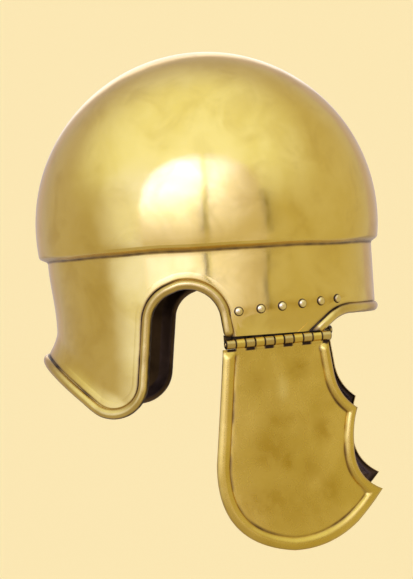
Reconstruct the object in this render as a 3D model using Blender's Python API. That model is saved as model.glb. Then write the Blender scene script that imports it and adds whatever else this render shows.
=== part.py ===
"""Brass gladiator helmet: stepped dome, deep neck guard and two hinged cheek pieces.

Metres, +Z up. The wearer looks along -Y and +X is the wearer's left. The origin is the inside
of the crown, where the helmet sits on a head.
"""
import math

import bmesh
import bpy
from mathutils import Matrix, Vector
from mathutils.geometry import delaunay_2d_cdt

# Sheet and working gaps
SHEET = 0.0013
GAP = 0.0003

# Dome: half of an ellipsoid that ends in an overhanging ledge
DOME_HALF_LENGTH = 0.118
DOME_HALF_WIDTH = 0.102
DOME_RISE = 0.118
LEDGE_DROP = 0.0172
LEDGE_STEP_FRONT = 0.0045
LEDGE_STEP_SIDE = 0.0045
LEDGE_STEP_BACK = 0.0058
LEDGE_SLOPE = math.radians(31)

# Facets of the sheet: columns round it, rows from the crown to the dome's middle
SHELL_COLUMNS = 52
DOME_ROWS = 7

# Band, nape and the flare of the neck guard
NECK_TAPER = 0.0035
NECK_HEIGHT = 0.044
FLARE_REACH = 0.0084
FLARE_HEIGHT = 0.018

# Lower edge seen from the side: drops are below the ledge, reaches are from the dome's middle
BROW_DROP = 0.0463
BROW_TURN_RADIUS = 0.022
LUG_DROP = 0.0594
LUG_SLOPE = math.radians(40)
LUG_FRONT_REACH = 0.0725
LUG_BACK_REACH = 0.0169
ARCH_DROP = 0.0241
ARCH_FRONT_REACH = 0.0123
ARCH_FRONT_RADIUS = 0.025
ARCH_TOP_REACH = 0.0140
ARCH_TOP_RADIUS = 0.018
ARCH_BACK_REACH = 0.0350
ARCH_SHOULDER_DROP = 0.0320
ARCH_SHOULDER_RADIUS = 0.024
GUARD_SIDE_LEAN = math.radians(7)
GUARD_CORNER_RADIUS = 0.0210
NAPE_REACH = 0.1143
NAPE_DROP = 0.0694
NAPE_SLOPE = math.radians(39)

# Rolled edge
BEAD_RADIUS = 0.0036
BEAD_INSET = 0.0015
BEAD_SIDES = 10
BEAD_STEP = 0.0086
BEAD_END_LIFT = 0.0020

# Hinges
KNUCKLES = 11
KNUCKLE_RADIUS = 0.0031
PIN_RADIUS = 0.00125
HINGE_BACK_OVERHANG = 0.0034
HINGE_FRONT_OVERHANG = 0.0075
HINGE_PROUD = 0.0012
HINGE_DROP = 0.0042
HINGE_RISE = 0.0015
KNUCKLE_SIDES = 8
LEAF = 0.0012
LEAF_SEAT = 0.0006
LEAF_HEIGHT = 0.0250
LEAF_BACK_INSET = 0.0010
LEAF_FRONT_OVERLAP = 0.0030
LEAF_FRONT_REACH = 0.0940
STRAP_INSET = 0.0001

# Rivets
RIVETS = 6
RIVET_FIRST_REACH = 0.0236
RIVET_PITCH = 0.0146
RIVET_DROP = 0.0435
RIVET_RISE = 0.0008
RIVET_HEAD_RADIUS = 0.0028
RIVET_HEAD_HEIGHT = 0.0016
RIVET_SHANK_RADIUS = 0.0012
RIVET_TAIL_RADIUS = 0.0021
RIVET_TAIL_HEIGHT = 0.0008
RIVET_SIDES = 8

# Cheek pieces
CHEEK_SHOULDER = 0.0014
CHEEK_DROP = 0.1318
CHEEK_WIDTH = 0.0716
CHEEK_BOW = 0.0035
CHEEK_SET = 0.0006
BORDER_WIDTH = 0.0085
BORDER_RISE = 0.0022
CHEEK_STEP = 0.0092
CHEEK_LATTICE = 0.0160
CHEEK_MERGE = 0.0001

# Cheek outline: share of the width forward of the hinge's back end, share of the drop below its
# shoulder, and bulge (sagitta over chord, outward positive) of the arc that arrives there
CHEEK_OUTLINE = (
    ("top back", -0.024, 0.000, 0.00),
    ("back", -0.162, 0.545, 0.00),
    ("bottom", 0.500, 1.000, 0.23),
    ("chin", 1.145, 0.900, 0.09),
    ("lower point", 1.421, 0.755, 0.02),
    ("lower scallop", 1.166, 0.513, -0.18),
    ("upper point", 1.228, 0.337, -0.05),
    ("upper scallop", 1.020, 0.141, -0.12),
    ("top front", 0.992, 0.000, 0.00),
)

CENTRE_Z = SHEET - DOME_RISE
LEDGE_Z = CENTRE_Z - LEDGE_DROP
BROW_Z = LEDGE_Z - BROW_DROP
LUG_Z = LEDGE_Z - LUG_DROP
ARCH_Z = LEDGE_Z - ARCH_DROP
NAPE_Z = LEDGE_Z - NAPE_DROP
LEDGE_SHARE = math.sqrt(1 - (LEDGE_DROP / DOME_RISE) ** 2)
BAND_HALF_WIDTH = DOME_HALF_WIDTH * LEDGE_SHARE - LEDGE_STEP_SIDE
BAND_FRONT = DOME_HALF_LENGTH * LEDGE_SHARE - LEDGE_STEP_FRONT
BAND_BACK = DOME_HALF_LENGTH * LEDGE_SHARE - LEDGE_STEP_BACK
BAND_Z = LEDGE_Z - LEDGE_STEP_SIDE * math.tan(LEDGE_SLOPE)
SKIRT_Z = LUG_Z - DOME_RISE * 0.43
HINGE_BACK_REACH = LUG_BACK_REACH - HINGE_BACK_OVERHANG
HINGE_FRONT_REACH = LUG_FRONT_REACH + HINGE_FRONT_OVERHANG
RIVET_Z = LEDGE_Z - RIVET_DROP
BORE_RADIUS = PIN_RADIUS + GAP
LEAF_DEPTH = SHEET + LEAF_SEAT
BRASS = (0.62, 0.47, 0.16, 1.0)
OLD_BRASS = (0.30, 0.22, 0.08, 1.0)


def smooth_share(value, start, end):
    """0 before start, 1 after end, with a soft change between."""
    share = min(max((value - start) / (end - start), 0.0), 1.0)
    return share * share * (3 - 2 * share)


def nape_line(reach):
    """Height of the neck guard's straight lower edge at a reach behind the middle."""
    return NAPE_Z - (NAPE_REACH - reach) * math.tan(NAPE_SLOPE)


def plan_point(turn, z):
    """Band's plan at one height; turn is 0 at the brow, pi at the nape, negative on the right."""
    forward = math.cos(turn)
    taper = NECK_TAPER * smooth_share(BAND_Z - z, 0.0, NECK_HEIGHT)
    reach = BAND_FRONT if forward > 0 else BAND_BACK - taper
    return Vector((BAND_HALF_WIDTH * math.sin(turn), -reach * forward, z))


def plan_normal(turn):
    """Outward direction of the band's plan."""
    across = math.sin(turn) / BAND_HALF_WIDTH
    along = -math.cos(turn) / BAND_FRONT
    return Vector((across, along, 0.0)).normalized()


def turn_at(reach, side):
    """Turn at which the plain band lies at this reach behind the middle."""
    depth = BAND_BACK if reach > 0 else BAND_FRONT
    return side * math.acos(max(-1.0, min(1.0, -reach / depth)))


def hinge_ends(side):
    """Back and front ends of the hinge axis on one side."""
    ends = []
    for reach, lift in ((-HINGE_BACK_REACH, 0.0), (-HINGE_FRONT_REACH, HINGE_RISE)):
        turn = turn_at(reach, side)
        end = plan_point(turn, LUG_Z - HINGE_DROP - HINGE_RISE / 2 + lift)
        ends.append(end + plan_normal(turn) * HINGE_PROUD)
    return ends


def hinge_frame(side):
    """Back end of the axis, unit vector forward along it, outward unit vector, unit vector down."""
    back, front = hinge_ends(side)
    along = (front - back).normalized()
    outward = along.cross(Vector((0, 0, -side))).normalized()
    down = outward.cross(along) * side
    return back, along, outward, down


def wall_point(turn, z):
    """Outer face of the wall below the ledge, with the nape's flare and the flattened lugs."""
    point = plan_point(turn, z)
    flare = FLARE_REACH * max(0.0, -math.cos(turn)) ** 2
    height = point.z - nape_line(point.y + flare)
    spread = min(1.2, max(0.0, 1 - height / FLARE_HEIGHT) ** 1.5)
    point += plan_normal(turn) * flare * spread
    side = 1 if turn > 0 else -1
    back, along, outward, _ = hinge_frame(side)
    fade = BAND_FRONT * 0.12
    flat = smooth_share(RIVET_Z - z, 0.0, LUG_DROP - RIVET_DROP - LEAF)
    flat *= smooth_share(point.y, -HINGE_FRONT_REACH - fade, -HINGE_FRONT_REACH)
    flat *= smooth_share(-point.y, HINGE_BACK_REACH - fade, HINGE_BACK_REACH)
    return point - outward * (point - back).dot(outward) * flat


def wall_normal(turn, z):
    """Outward normal of the wall."""
    step = 0.0004
    across = wall_point(turn + step / BAND_FRONT, z) - wall_point(turn - step / BAND_FRONT, z)
    upward = wall_point(turn, z + step) - wall_point(turn, z - step)
    return across.cross(upward).normalized()


def inner_point(turn, z, depth):
    """Point at a depth under the wall's outer face."""
    return wall_point(turn, z) - wall_normal(turn, z) * depth


def turn_for(y, z, side):
    """Turn at which the finished wall lies at this y."""
    low, high = 0.0, math.pi
    for _ in range(30):
        middle = (low + high) / 2
        if wall_point(side * middle, z).y < y:
            low = middle
        else:
            high = middle
    return side * (low + high) / 2


def rounded_path(corners, step):
    """Polyline in the side view with each corner (y, z, radius) rounded by an arc."""
    points = [Vector(corners[0][:2])]
    for before, corner, after in zip(corners, corners[1:], corners[2:]):
        middle = Vector(corner[:2])
        first = (Vector(before[:2]) - middle).normalized()
        last = (Vector(after[:2]) - middle).normalized()
        half = first.angle(last) / 2
        radius = corner[2]
        if radius == 0:
            points.append(middle)
            continue
        centre = middle + (first + last).normalized() * radius / math.sin(half)
        start = middle + first * radius / math.tan(half) - centre
        end = middle + last * radius / math.tan(half) - centre
        sweep = start.angle_signed(end)
        count = max(2, round(abs(sweep) * radius / step))
        for index in range(count + 1):
            angle = -sweep * index / count
            points.append(centre + Matrix.Rotation(angle, 2) @ start)
    points.append(Vector(corners[-1][:2]))
    return points


def resampled(points, step):
    """Polyline with its long straight runs split into steps."""
    result = [points[0]]
    for start, end in zip(points, points[1:]):
        count = max(1, round((end - start).length / step))
        result += [start.lerp(end, index / count) for index in range(1, count + 1)]
    return result


def edge_corners():
    """Side-view corners of the lower edge, from ahead of the brow to behind the nape."""
    run = (LUG_DROP - BROW_DROP) / math.tan(LUG_SLOPE)
    shoulder_z = LEDGE_Z - ARCH_SHOULDER_DROP
    lean = math.tan(GUARD_SIDE_LEAN)
    rise = math.tan(NAPE_SLOPE)
    low_y = (ARCH_BACK_REACH + lean * (shoulder_z - NAPE_Z + NAPE_REACH * rise)) / (1 + lean * rise)
    return (
        (-DOME_HALF_LENGTH * 1.2, BROW_Z, 0.0),
        (-LUG_FRONT_REACH - run, BROW_Z, BROW_TURN_RADIUS),
        (-LUG_FRONT_REACH, LUG_Z, 0.0),
        (-LUG_BACK_REACH, LUG_Z, 0.0),
        (-ARCH_FRONT_REACH, ARCH_Z, ARCH_FRONT_RADIUS),
        (ARCH_TOP_REACH, ARCH_Z, ARCH_TOP_RADIUS),
        (ARCH_BACK_REACH, shoulder_z, ARCH_SHOULDER_RADIUS),
        (low_y, nape_line(low_y), GUARD_CORNER_RADIUS),
        (DOME_HALF_LENGTH * 1.3, nape_line(DOME_HALF_LENGTH * 1.3), 0.0),
    )


def brow_centres():
    """Turns and heights along the brow bead, from the right lug round the front to the left."""
    corners = list(edge_corners()[:3])
    path = resampled(rounded_path(corners, BEAD_STEP), BEAD_STEP)
    turning = -LUG_FRONT_REACH - BROW_TURN_RADIUS
    half = [(abs(turn_for(y, z, 1)), z) for y, z in path if y > turning]
    first = half[0][0]
    count = max(2, round(first * BAND_FRONT / BEAD_STEP))
    half = [(first * index / count, BROW_Z) for index in range(1, count)] + half
    return [(-turn, z) for turn, z in reversed(half)] + [(0.0, BROW_Z)] + half


def guard_centres():
    """Turns and heights along the guard bead, from the right lug round the nape to the left."""
    corners = list(edge_corners()[3:])
    path = resampled(rounded_path(corners, BEAD_STEP * 0.7), BEAD_STEP)
    run = (path[1] - path[0]).normalized() * BEAD_END_LIFT
    path[:1] = [path[0] + run, path[0] + run * 2]
    corner_y = corners[-2][0] + GUARD_CORNER_RADIUS * (1 + math.sin(NAPE_SLOPE))
    half = [(abs(turn_for(y, z, 1)), z) for y, z in path if y < corner_y]
    last = half[-1][0]
    count = max(2, round((math.pi - last) * BAND_BACK / BEAD_STEP))
    for index in range(1, count + 1):
        turn = last + (math.pi - last) * index / count
        z = half[-1][1]
        for _ in range(16):
            z = (z + nape_line(wall_point(turn, z).y)) / 2
        half.append((turn, z))
    return [(-turn, z) for turn, z in half[:-1]] + list(reversed(half))


def new_material(name, colour, roughness):
    """Metal finish of one sub-part."""
    material = bpy.data.materials.new(name)
    material.use_nodes = True
    shader = material.node_tree.nodes["Principled BSDF"]
    shader.inputs["Base Color"].default_value = colour
    shader.inputs["Roughness"].default_value = roughness
    shader.inputs["Metallic"].default_value = 1.0
    return material


def new_solid(name, verts, faces, material=None, origin=Vector((0, 0, 0))):
    """Object from points and faces, faces turned outward, with its origin where it is wanted."""
    mesh = bpy.data.meshes.new(name)
    mesh.from_pydata([Vector(v) - origin for v in verts], [], faces)
    shape = bmesh.new()
    shape.from_mesh(mesh)
    bmesh.ops.recalc_face_normals(shape, faces=shape.faces)
    shape.to_mesh(mesh)
    shape.free()
    mesh.shade_smooth()
    mesh.set_sharp_from_angle(angle=math.radians(35))
    solid = bpy.data.objects.new(name, mesh)
    solid.location = origin
    bpy.context.scene.collection.objects.link(solid)
    if material:
        mesh.materials.append(material)
    return solid


def combine(target, other, operation):
    """Boolean with a helper object that stays hidden."""
    other.hide_render = True
    other.display_type = "WIRE"
    modifier = target.modifiers.new(other.name, "BOOLEAN")
    modifier.operation = operation
    modifier.solver = "EXACT"
    modifier.object = other


def ring_faces(rings, closed=True):
    """Quads between rings of equal size, given as lists of point numbers."""
    faces = []
    for near, far in zip(rings, rings[1:]):
        count = len(near)
        for index in range(count if closed else count - 1):
            following = (index + 1) % count
            faces.append((near[index], near[following], far[following], far[index]))
    return faces


def lofted(rings):
    """Points and faces of a closed body through rings, with a face on each end ring."""
    verts, numbers = [], []
    for ring in rings:
        numbers.append(list(range(len(verts), len(verts) + len(ring))))
        verts += ring
    faces = ring_faces(numbers) + [tuple(numbers[0]), tuple(reversed(numbers[-1]))]
    return verts, faces


def merged(bodies):
    """One list of points and faces from several closed bodies."""
    verts, faces = [], []
    for body_verts, body_faces in bodies:
        shift = len(verts)
        verts += body_verts
        faces += [tuple(index + shift for index in face) for face in body_faces]
    return verts, faces


def lug_heights(shares):
    """Heights at shares of the way from the rivets down to the lug's edge."""
    return [RIVET_Z + (LUG_Z - RIVET_Z) * share for share in shares]


def cup_rings(depth, turns):
    """Rings of the cup's face at a depth under the outer one, from the crown down."""
    rings = []
    fold = depth * (1 - math.sin(LEDGE_SLOPE)) / math.cos(LEDGE_SLOPE)
    tip_z = LEDGE_Z + fold
    length = DOME_HALF_LENGTH - depth
    width = DOME_HALF_WIDTH - depth
    rise = DOME_RISE - depth
    tip_angle = math.asin((tip_z - CENTRE_Z) / rise)
    angles = [math.pi / 2 * (1 - row / DOME_ROWS) for row in range(1, DOME_ROWS + 1)]
    for angle in angles + [tip_angle]:
        share = math.cos(angle)
        z = CENTRE_Z + rise * math.sin(angle)
        rings.append([(width * share * math.sin(t), -length * share * math.cos(t), z) for t in turns])
    heights = [BAND_Z + fold, (BAND_Z + RIVET_Z) / 2] + lug_heights((0.0, 0.3, 0.6, 0.85, 1.1))
    last = heights[-1]
    heights += [last + (SKIRT_Z - last) * share for share in (0.36, 0.7, 1.0)]
    for z in heights:
        rings.append([inner_point(t, z, depth) for t in turns])
    return rings


def build_cup(material):
    """Dome, ledge and an uncut skirt as one closed sheet."""
    columns = SHELL_COLUMNS
    turns = [math.pi * (2 * index / columns - 1) for index in range(columns)]
    outer = cup_rings(0.0, turns)
    inner = cup_rings(SHEET, turns)
    rings = outer + list(reversed(inner))
    verts, faces = lofted(rings)
    faces = faces[:-2]
    for ring_start, depth in ((0, 0.0), (len(verts) - columns, SHEET)):
        verts.append((0.0, 0.0, CENTRE_Z + DOME_RISE - depth))
        for index in range(columns):
            faces.append((ring_start + index, ring_start + (index + 1) % columns, len(verts) - 1))
    return new_solid("shell", verts, faces, material)


def edge_cutter():
    """Everything below the helmet's lower edge, as seen from the side."""
    path = rounded_path(edge_corners(), BEAD_STEP * 0.7)
    floor = SKIRT_Z - DOME_RISE / 4
    outline = [(y, z) for y, z in path]
    outline += [(outline[-1][0], floor), (outline[0][0], floor)]
    reach = DOME_HALF_WIDTH * 1.4
    rings = [[(x, y, z) for y, z in outline] for x in (-reach, reach)]
    return new_solid("edge_cutter", *lofted(rings))


def backing_depth(y, z):
    """Deepest place of the bead under the wall's face: its back is flat over a hinge leaf."""
    full = BEAD_INSET + BEAD_RADIUS
    front = -LEAF_FRONT_REACH - BEAD_RADIUS
    beside = smooth_share(y, front - BEAD_RADIUS * 2, front) * smooth_share(-y, -BEAD_RADIUS, BEAD_RADIUS)
    beside *= smooth_share(LUG_Z + LEAF_HEIGHT + BEAD_RADIUS * 3 - z, 0.0, BEAD_RADIUS * 2)
    return full + (SHEET * 0.8 - full) * beside


def bead(name, centres, end_shares, end_z=None):
    """Round bead along the edge; end_shares are the radius shares of its last rings, and end_z is
    the height at which both ends are cut level."""
    points = [inner_point(turn, z, BEAD_INSET) for turn, z in centres]
    shares = [1.0] * len(points)
    for index, share in enumerate(end_shares):
        shares[index] = share
        shares[-1 - index] = share
    rings = []
    for index, (turn, z) in enumerate(centres):
        ahead = points[min(index + 1, len(points) - 1)]
        behind = points[max(index - 1, 0)]
        tangent = (ahead - behind).normalized()
        outward = wall_normal(turn, z)
        outward = (outward - tangent * outward.dot(tangent)).normalized()
        sideways = tangent.cross(outward)
        radius = BEAD_RADIUS * shares[index]
        ring = []
        for step in range(BEAD_SIDES):
            angle = 2 * math.pi * (step + 0.5) / BEAD_SIDES
            lift = max(math.cos(angle) * radius, BEAD_INSET - backing_depth(points[index].y, z))
            ring.append(points[index] + outward * lift + sideways * math.sin(angle) * radius)
        if end_z is not None and index in (0, len(centres) - 1):
            ring = [point + tangent * (end_z - point.z) / tangent.z for point in ring]
        rings.append(ring)
    return new_solid(name, *lofted(rings))


def rivet_places(side):
    """Outer wall point and outward normal of each rivet, from the back."""
    places = []
    turn = abs(turn_at(-RIVET_FIRST_REACH, 1))
    for index in range(RIVETS):
        z = RIVET_Z + RIVET_RISE * index
        places.append((wall_point(side * turn, z), wall_normal(side * turn, z)))
        width = BAND_HALF_WIDTH * math.cos(turn)
        length = BAND_FRONT * math.sin(turn)
        turn -= RIVET_PITCH / math.hypot(width, length)
    return places


def turned(profile, centre, axis, sides):
    """Closed round body from (radius, height) pairs along an axis."""
    first = axis.orthogonal().normalized()
    second = axis.cross(first)
    rings = []
    for radius, height in profile:
        ring = []
        for step in range(sides):
            angle = 2 * math.pi * step / sides
            spoke = first * math.cos(angle) + second * math.sin(angle)
            ring.append(centre + axis * height + spoke * radius)
        rings.append(ring)
    return lofted(rings)


def rivet_cutters(side):
    """Clearance holes through the lug and the leaf."""
    radius = RIVET_SHANK_RADIUS + GAP
    profile = ((radius, -SHEET * 4), (radius, SHEET * 2))
    bodies = [turned(profile, point, normal, RIVET_SIDES) for point, normal in rivet_places(side)]
    return merged(bodies)


def leaf_grid(side, depth, grow):
    """Rows of points of the leaf's plate at one depth under the lug's outer face."""
    columns = 9
    low = LUG_Z + GAP - grow
    high = LUG_Z + LEAF_HEIGHT + grow
    grid = []
    for z in [low] + lug_heights((0.85, 0.6, 0.3, 0.0)) + [high]:
        share = min(1.0, (z - low) / (RIVET_Z - low))
        start = LUG_FRONT_REACH + LEAF_FRONT_OVERLAP
        front = -(start + (LEAF_FRONT_REACH - start) * share) - grow
        back = -LUG_BACK_REACH - LEAF_BACK_INSET + grow
        line = []
        for column in range(columns + 1):
            y = back + (front - back) * column / columns
            line.append(inner_point(turn_for(y, z, side), z, depth))
        grid.append(line)
    return grid


def plate_between(outer, inner):
    """Closed plate between two grids of points with equal rows."""
    rings = []
    for outer_row, inner_row in zip(outer, inner):
        rings.append(list(outer_row) + list(reversed(inner_row)))
    verts, faces = lofted(rings)
    count = len(rings[0])
    half = count // 2
    faces = faces[:-2]
    for start in (0, len(verts) - count):
        for index in range(half - 1):
            far = count - 1 - index
            faces.append((start + index, start + index + 1, start + far - 1, start + far))
    return verts, faces


def knuckle_span(index, length):
    """Ends of one knuckle along the hinge, with half a gap off each end."""
    pitch = length / KNUCKLES
    return index * pitch + GAP / 2, (index + 1) * pitch - GAP / 2


def knuckle_rings(side, indices):
    """Barrels round the pin, as tubes."""
    back, along, outward, down = hinge_frame(side)
    length = (hinge_ends(side)[1] - back).length
    bodies = []
    for index in indices:
        start, end = knuckle_span(index, length)
        circles = []
        for place, radius in ((start, KNUCKLE_RADIUS), (end, KNUCKLE_RADIUS),
                              (end, BORE_RADIUS), (start, BORE_RADIUS)):
            ring = []
            for step in range(KNUCKLE_SIDES):
                angle = 2 * math.pi * (step + 0.5) / KNUCKLE_SIDES
                spoke = outward * math.cos(angle) + down * math.sin(angle)
                ring.append(back + along * place + spoke * radius)
            circles.append(ring)
        verts = [point for ring in circles for point in ring]
        numbers = [list(range(n * KNUCKLE_SIDES, (n + 1) * KNUCKLE_SIDES)) for n in (0, 1, 2, 3, 0)]
        bodies.append((verts, ring_faces(numbers)))
    return merged(bodies)


def knuckle_straps(side, indices, near, far, low, high):
    """Short straps that join knuckles to their sheet: near and far are outward places, low and
    high are functions of the place along the hinge that give distances below the axis."""
    back, along, outward, down = hinge_frame(side)
    length = (hinge_ends(side)[1] - back).length
    near, far = near + STRAP_INSET, far - STRAP_INSET
    bodies = []
    for index in indices:
        rings = []
        start, end = knuckle_span(index, length)
        for place in (start + STRAP_INSET, end - STRAP_INSET):
            corners = ((near, low(place)), (far, low(place)), (far, high(place)), (near, high(place)))
            rings.append([back + along * place + outward * out + down * drop for out, drop in corners])
        bodies.append(lofted(rings))
    return merged(bodies)


def build_leaf(side, label, material):
    """Hinge leaf inside the lug, with every other knuckle."""
    deep = LEAF_DEPTH + LEAF
    plate = plate_between(leaf_grid(side, LEAF_DEPTH, 0.0), leaf_grid(side, deep, 0.0))
    leaf = new_solid("hinge_leaf_" + label, *plate, material)
    indices = range(0, KNUCKLES, 2)
    back, along, _, _ = hinge_frame(side)

    def strap_top(place):
        return (back + along * place).z - LUG_Z - LEAF

    straps = knuckle_straps(side, indices, -deep, -LEAF_DEPTH, lambda place: 0.0, strap_top)
    combine(leaf, new_solid("leaf_holes_" + label, *rivet_cutters(side)), "DIFFERENCE")
    combine(leaf, new_solid("leaf_straps_" + label, *straps), "UNION")
    combine(leaf, new_solid("leaf_knuckles_" + label, *knuckle_rings(side, indices)), "UNION")
    return leaf


def build_rivets(side, label, material):
    """Domed rivets through lug and leaf, each closed by a flat tail inside."""
    grip = LEAF_DEPTH + LEAF + GAP * 2
    profile = (
        (RIVET_TAIL_RADIUS, -grip - RIVET_TAIL_HEIGHT),
        (RIVET_TAIL_RADIUS, -grip),
        (RIVET_SHANK_RADIUS, -grip),
        (RIVET_SHANK_RADIUS, GAP),
        (RIVET_HEAD_RADIUS, GAP),
        (RIVET_HEAD_RADIUS * 0.55, GAP + RIVET_HEAD_HEIGHT),
    )
    for index, (point, normal) in enumerate(rivet_places(side)):
        body = turned(profile, point, normal, RIVET_SIDES)
        new_solid("rivet_%s_%d" % (label, index + 1), *body, material, point)


def build_pin(side, label, material):
    """Hinge pin with slightly rounded ends."""
    back, along, _, _ = hinge_frame(side)
    length = (hinge_ends(side)[1] - back).length
    round_end = PIN_RADIUS * 0.4
    profile = ((PIN_RADIUS - round_end, -round_end), (PIN_RADIUS, 0.0),
               (PIN_RADIUS, length), (PIN_RADIUS - round_end, length + round_end))
    body = turned(profile, back, along, KNUCKLE_SIDES)
    new_solid("hinge_pin_" + label, *body, material, back + along * length / 2)


def cheek_outline(step):
    """Cheek outline as points in (along, drop) metres, from the hinge's back end round."""
    shoulder = KNUCKLE_RADIUS + CHEEK_SHOULDER
    stops = [(Vector((x * CHEEK_WIDTH, shoulder + y * CHEEK_DROP)), bulge)
             for _, x, y, bulge in CHEEK_OUTLINE]
    points = [stops[0][0]]
    for (start, _), (end, bulge) in zip(stops, stops[1:]):
        chord = end - start
        side = Vector((-chord.y, chord.x))
        count = max(1, round(chord.length / step))
        for index in range(1, count + 1):
            share = index / count
            lift = 4 * share * (1 - share) * bulge
            points.append(start + chord * share + side * lift)
    count = round((stops[0][0] - stops[-1][0]).length / step)
    for index in range(1, count):
        points.append(stops[-1][0].lerp(stops[0][0], index / count))
    return points


def distance_to(point, outline, sides):
    """Distance from a point to the nearest of the outline's sides."""
    nearest = 1.0
    for index in sides:
        start, end = outline[index], outline[(index + 1) % len(outline)]
        run = end - start
        share = max(0.0, min(1.0, (point - start).dot(run) / run.length_squared))
        nearest = min(nearest, (point - start - run * share).length)
    return nearest


def build_cheek(side, label, material):
    """Cheek piece: bowed sheet with a raised half-round border and its knuckles."""
    back, along, outward, down = hinge_frame(side)
    length = (hinge_ends(side)[1] - back).length
    middle = back + along * length / 2
    outline = cheek_outline(CHEEK_STEP)
    count = len(outline)
    shoulder = KNUCKLE_RADIUS + CHEEK_SHOULDER
    border_sides = [index for index in range(count)
                    if max(outline[index].y, outline[(index + 1) % count].y) > shoulder + GAP]
    inside = list(outline)
    for level in (0.3, 0.7, 1.0):
        for index, point in enumerate(outline):
            before, after = outline[index - 1], outline[(index + 1) % count]
            tangent = (after - before).normalized()
            moved = point + Vector((tangent.y, -tangent.x)) * BORDER_WIDTH * level
            away = distance_to(moved, outline, range(count))
            if away > BORDER_WIDTH * level * 0.9:
                inside.append(moved)
    for column in range(-2, 3 + round(CHEEK_WIDTH * 1.5 / CHEEK_LATTICE)):
        for row in range(2 + round(CHEEK_DROP / CHEEK_LATTICE)):
            inside.append(Vector((column * CHEEK_LATTICE, shoulder + row * CHEEK_LATTICE)))
    loop = [(index, (index + 1) % count) for index in range(count)]
    result = delaunay_2d_cdt(inside, loop, [], 1, CHEEK_MERGE)
    flat, triangles = result[0], [tuple(face) for face in result[2]]

    def raise_at(point):
        away = distance_to(point, outline, border_sides)
        if away >= BORDER_WIDTH:
            return 0.0
        fade = smooth_share(point.y, shoulder, shoulder + BORDER_WIDTH / 2)
        return BORDER_RISE * math.sin(math.pi * away / BORDER_WIDTH) ** 0.8 * fade

    def place(point, offset):
        share = (point.x - CHEEK_WIDTH * 0.62) / (CHEEK_WIDTH * 0.8)
        bow = -CHEEK_BOW * share * share * (point.y - shoulder) / CHEEK_DROP
        set_out = CHEEK_SET * (point.y - shoulder) / CHEEK_DROP
        lift = raise_at(point) + bow + set_out + offset
        return back + along * point.x + down * point.y + outward * lift

    verts = [place(point, SHEET / 2) for point in flat] + [place(point, -SHEET / 2) for point in flat]
    total = len(flat)
    faces = triangles + [tuple(index + total for index in reversed(face)) for face in triangles]
    edges = {}
    for face in triangles:
        for start, end in zip(face, face[1:] + face[:1]):
            edges[(start, end)] = True
    for start, end in edges:
        if (end, start) not in edges:
            faces.append((end, start, start + total, end + total))
    cheek = new_solid("cheek_" + label, verts, faces, material, middle)
    indices = range(1, KNUCKLES, 2)
    straps = knuckle_straps(side, indices, -SHEET / 2, SHEET / 2,
                            lambda place: (BORE_RADIUS + KNUCKLE_RADIUS) / 2,
                            lambda place: shoulder + SHEET)
    combine(cheek, new_solid("cheek_straps_" + label, *straps), "UNION")
    combine(cheek, new_solid("cheek_knuckles_" + label, *knuckle_rings(side, indices)), "UNION")
    return cheek


def main():
    for item in list(bpy.data.objects):
        bpy.data.objects.remove(item, do_unlink=True)
    polished = new_material("polished_brass", BRASS, 0.18)
    worn = new_material("worn_brass", BRASS, 0.30)
    dark = new_material("darkened_brass", OLD_BRASS, 0.45)

    shell = build_cup(polished)
    combine(shell, edge_cutter(), "DIFFERENCE")
    combine(shell, bead("brow_bead", brow_centres(), (), LUG_Z - GAP / 2), "UNION")
    combine(shell, bead("guard_bead", guard_centres(), (0.65, 1.0)), "UNION")
    for side, label in ((-1, "right"), (1, "left")):
        combine(shell, new_solid("rivet_holes_" + label, *rivet_cutters(side)), "DIFFERENCE")
        build_leaf(side, label, dark)
        build_rivets(side, label, worn)
        build_pin(side, label, dark)
        build_cheek(side, label, worn)


main()
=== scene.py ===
"""Looks of a brass gladiator helmet: fine sheet, rolled edges, rivets, hinges and metal finish.

Metres, +Z up. The wearer looks along -Y and +X is the wearer's left. Side is -1 on the right.
"""
import math

import bpy
import numpy as np
from mathutils import Matrix, Vector
from mathutils.geometry import delaunay_2d_cdt
from mathutils.kdtree import KDTree


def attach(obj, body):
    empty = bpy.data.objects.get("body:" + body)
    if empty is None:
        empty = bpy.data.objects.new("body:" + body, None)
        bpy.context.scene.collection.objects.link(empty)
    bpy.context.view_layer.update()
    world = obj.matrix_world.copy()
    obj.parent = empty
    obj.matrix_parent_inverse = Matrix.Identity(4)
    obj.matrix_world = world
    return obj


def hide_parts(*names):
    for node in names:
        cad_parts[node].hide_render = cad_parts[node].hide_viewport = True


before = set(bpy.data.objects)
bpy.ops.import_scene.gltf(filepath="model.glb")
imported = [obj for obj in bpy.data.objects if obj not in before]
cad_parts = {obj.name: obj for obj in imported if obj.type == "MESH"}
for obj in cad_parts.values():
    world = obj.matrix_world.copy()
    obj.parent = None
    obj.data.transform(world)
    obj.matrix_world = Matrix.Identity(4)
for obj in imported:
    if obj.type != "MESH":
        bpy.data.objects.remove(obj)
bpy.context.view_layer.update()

# Sheet, working gaps and the angle over which an edge looks sharp
SHEET = 0.0013
GAP = 0.0003
SHARP_ANGLE = math.radians(38)

# Dome and its overhanging ledge
DOME_HALF_LENGTH = 0.118
DOME_HALF_WIDTH = 0.102
DOME_RISE = 0.118
LEDGE_DROP = 0.0172
LEDGE_STEP_FRONT = 0.0045
LEDGE_STEP_SIDE = 0.0045
LEDGE_STEP_BACK = 0.0058
LEDGE_SLOPE = math.radians(31)
TIP_ROUND = 0.0016
CORNER_ROUND = 0.0016

# Hammered waves of the ledge: height, reach above and below, and waves round the dome with
# their share of the height and their phase
LEDGE_WAVE = 0.00028
LEDGE_WAVE_REACH = 0.009
LEDGE_WAVES = ((3, 1.0, 1.0), (7, 0.7, 2.2), (13, 0.5, 0.4))

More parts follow.
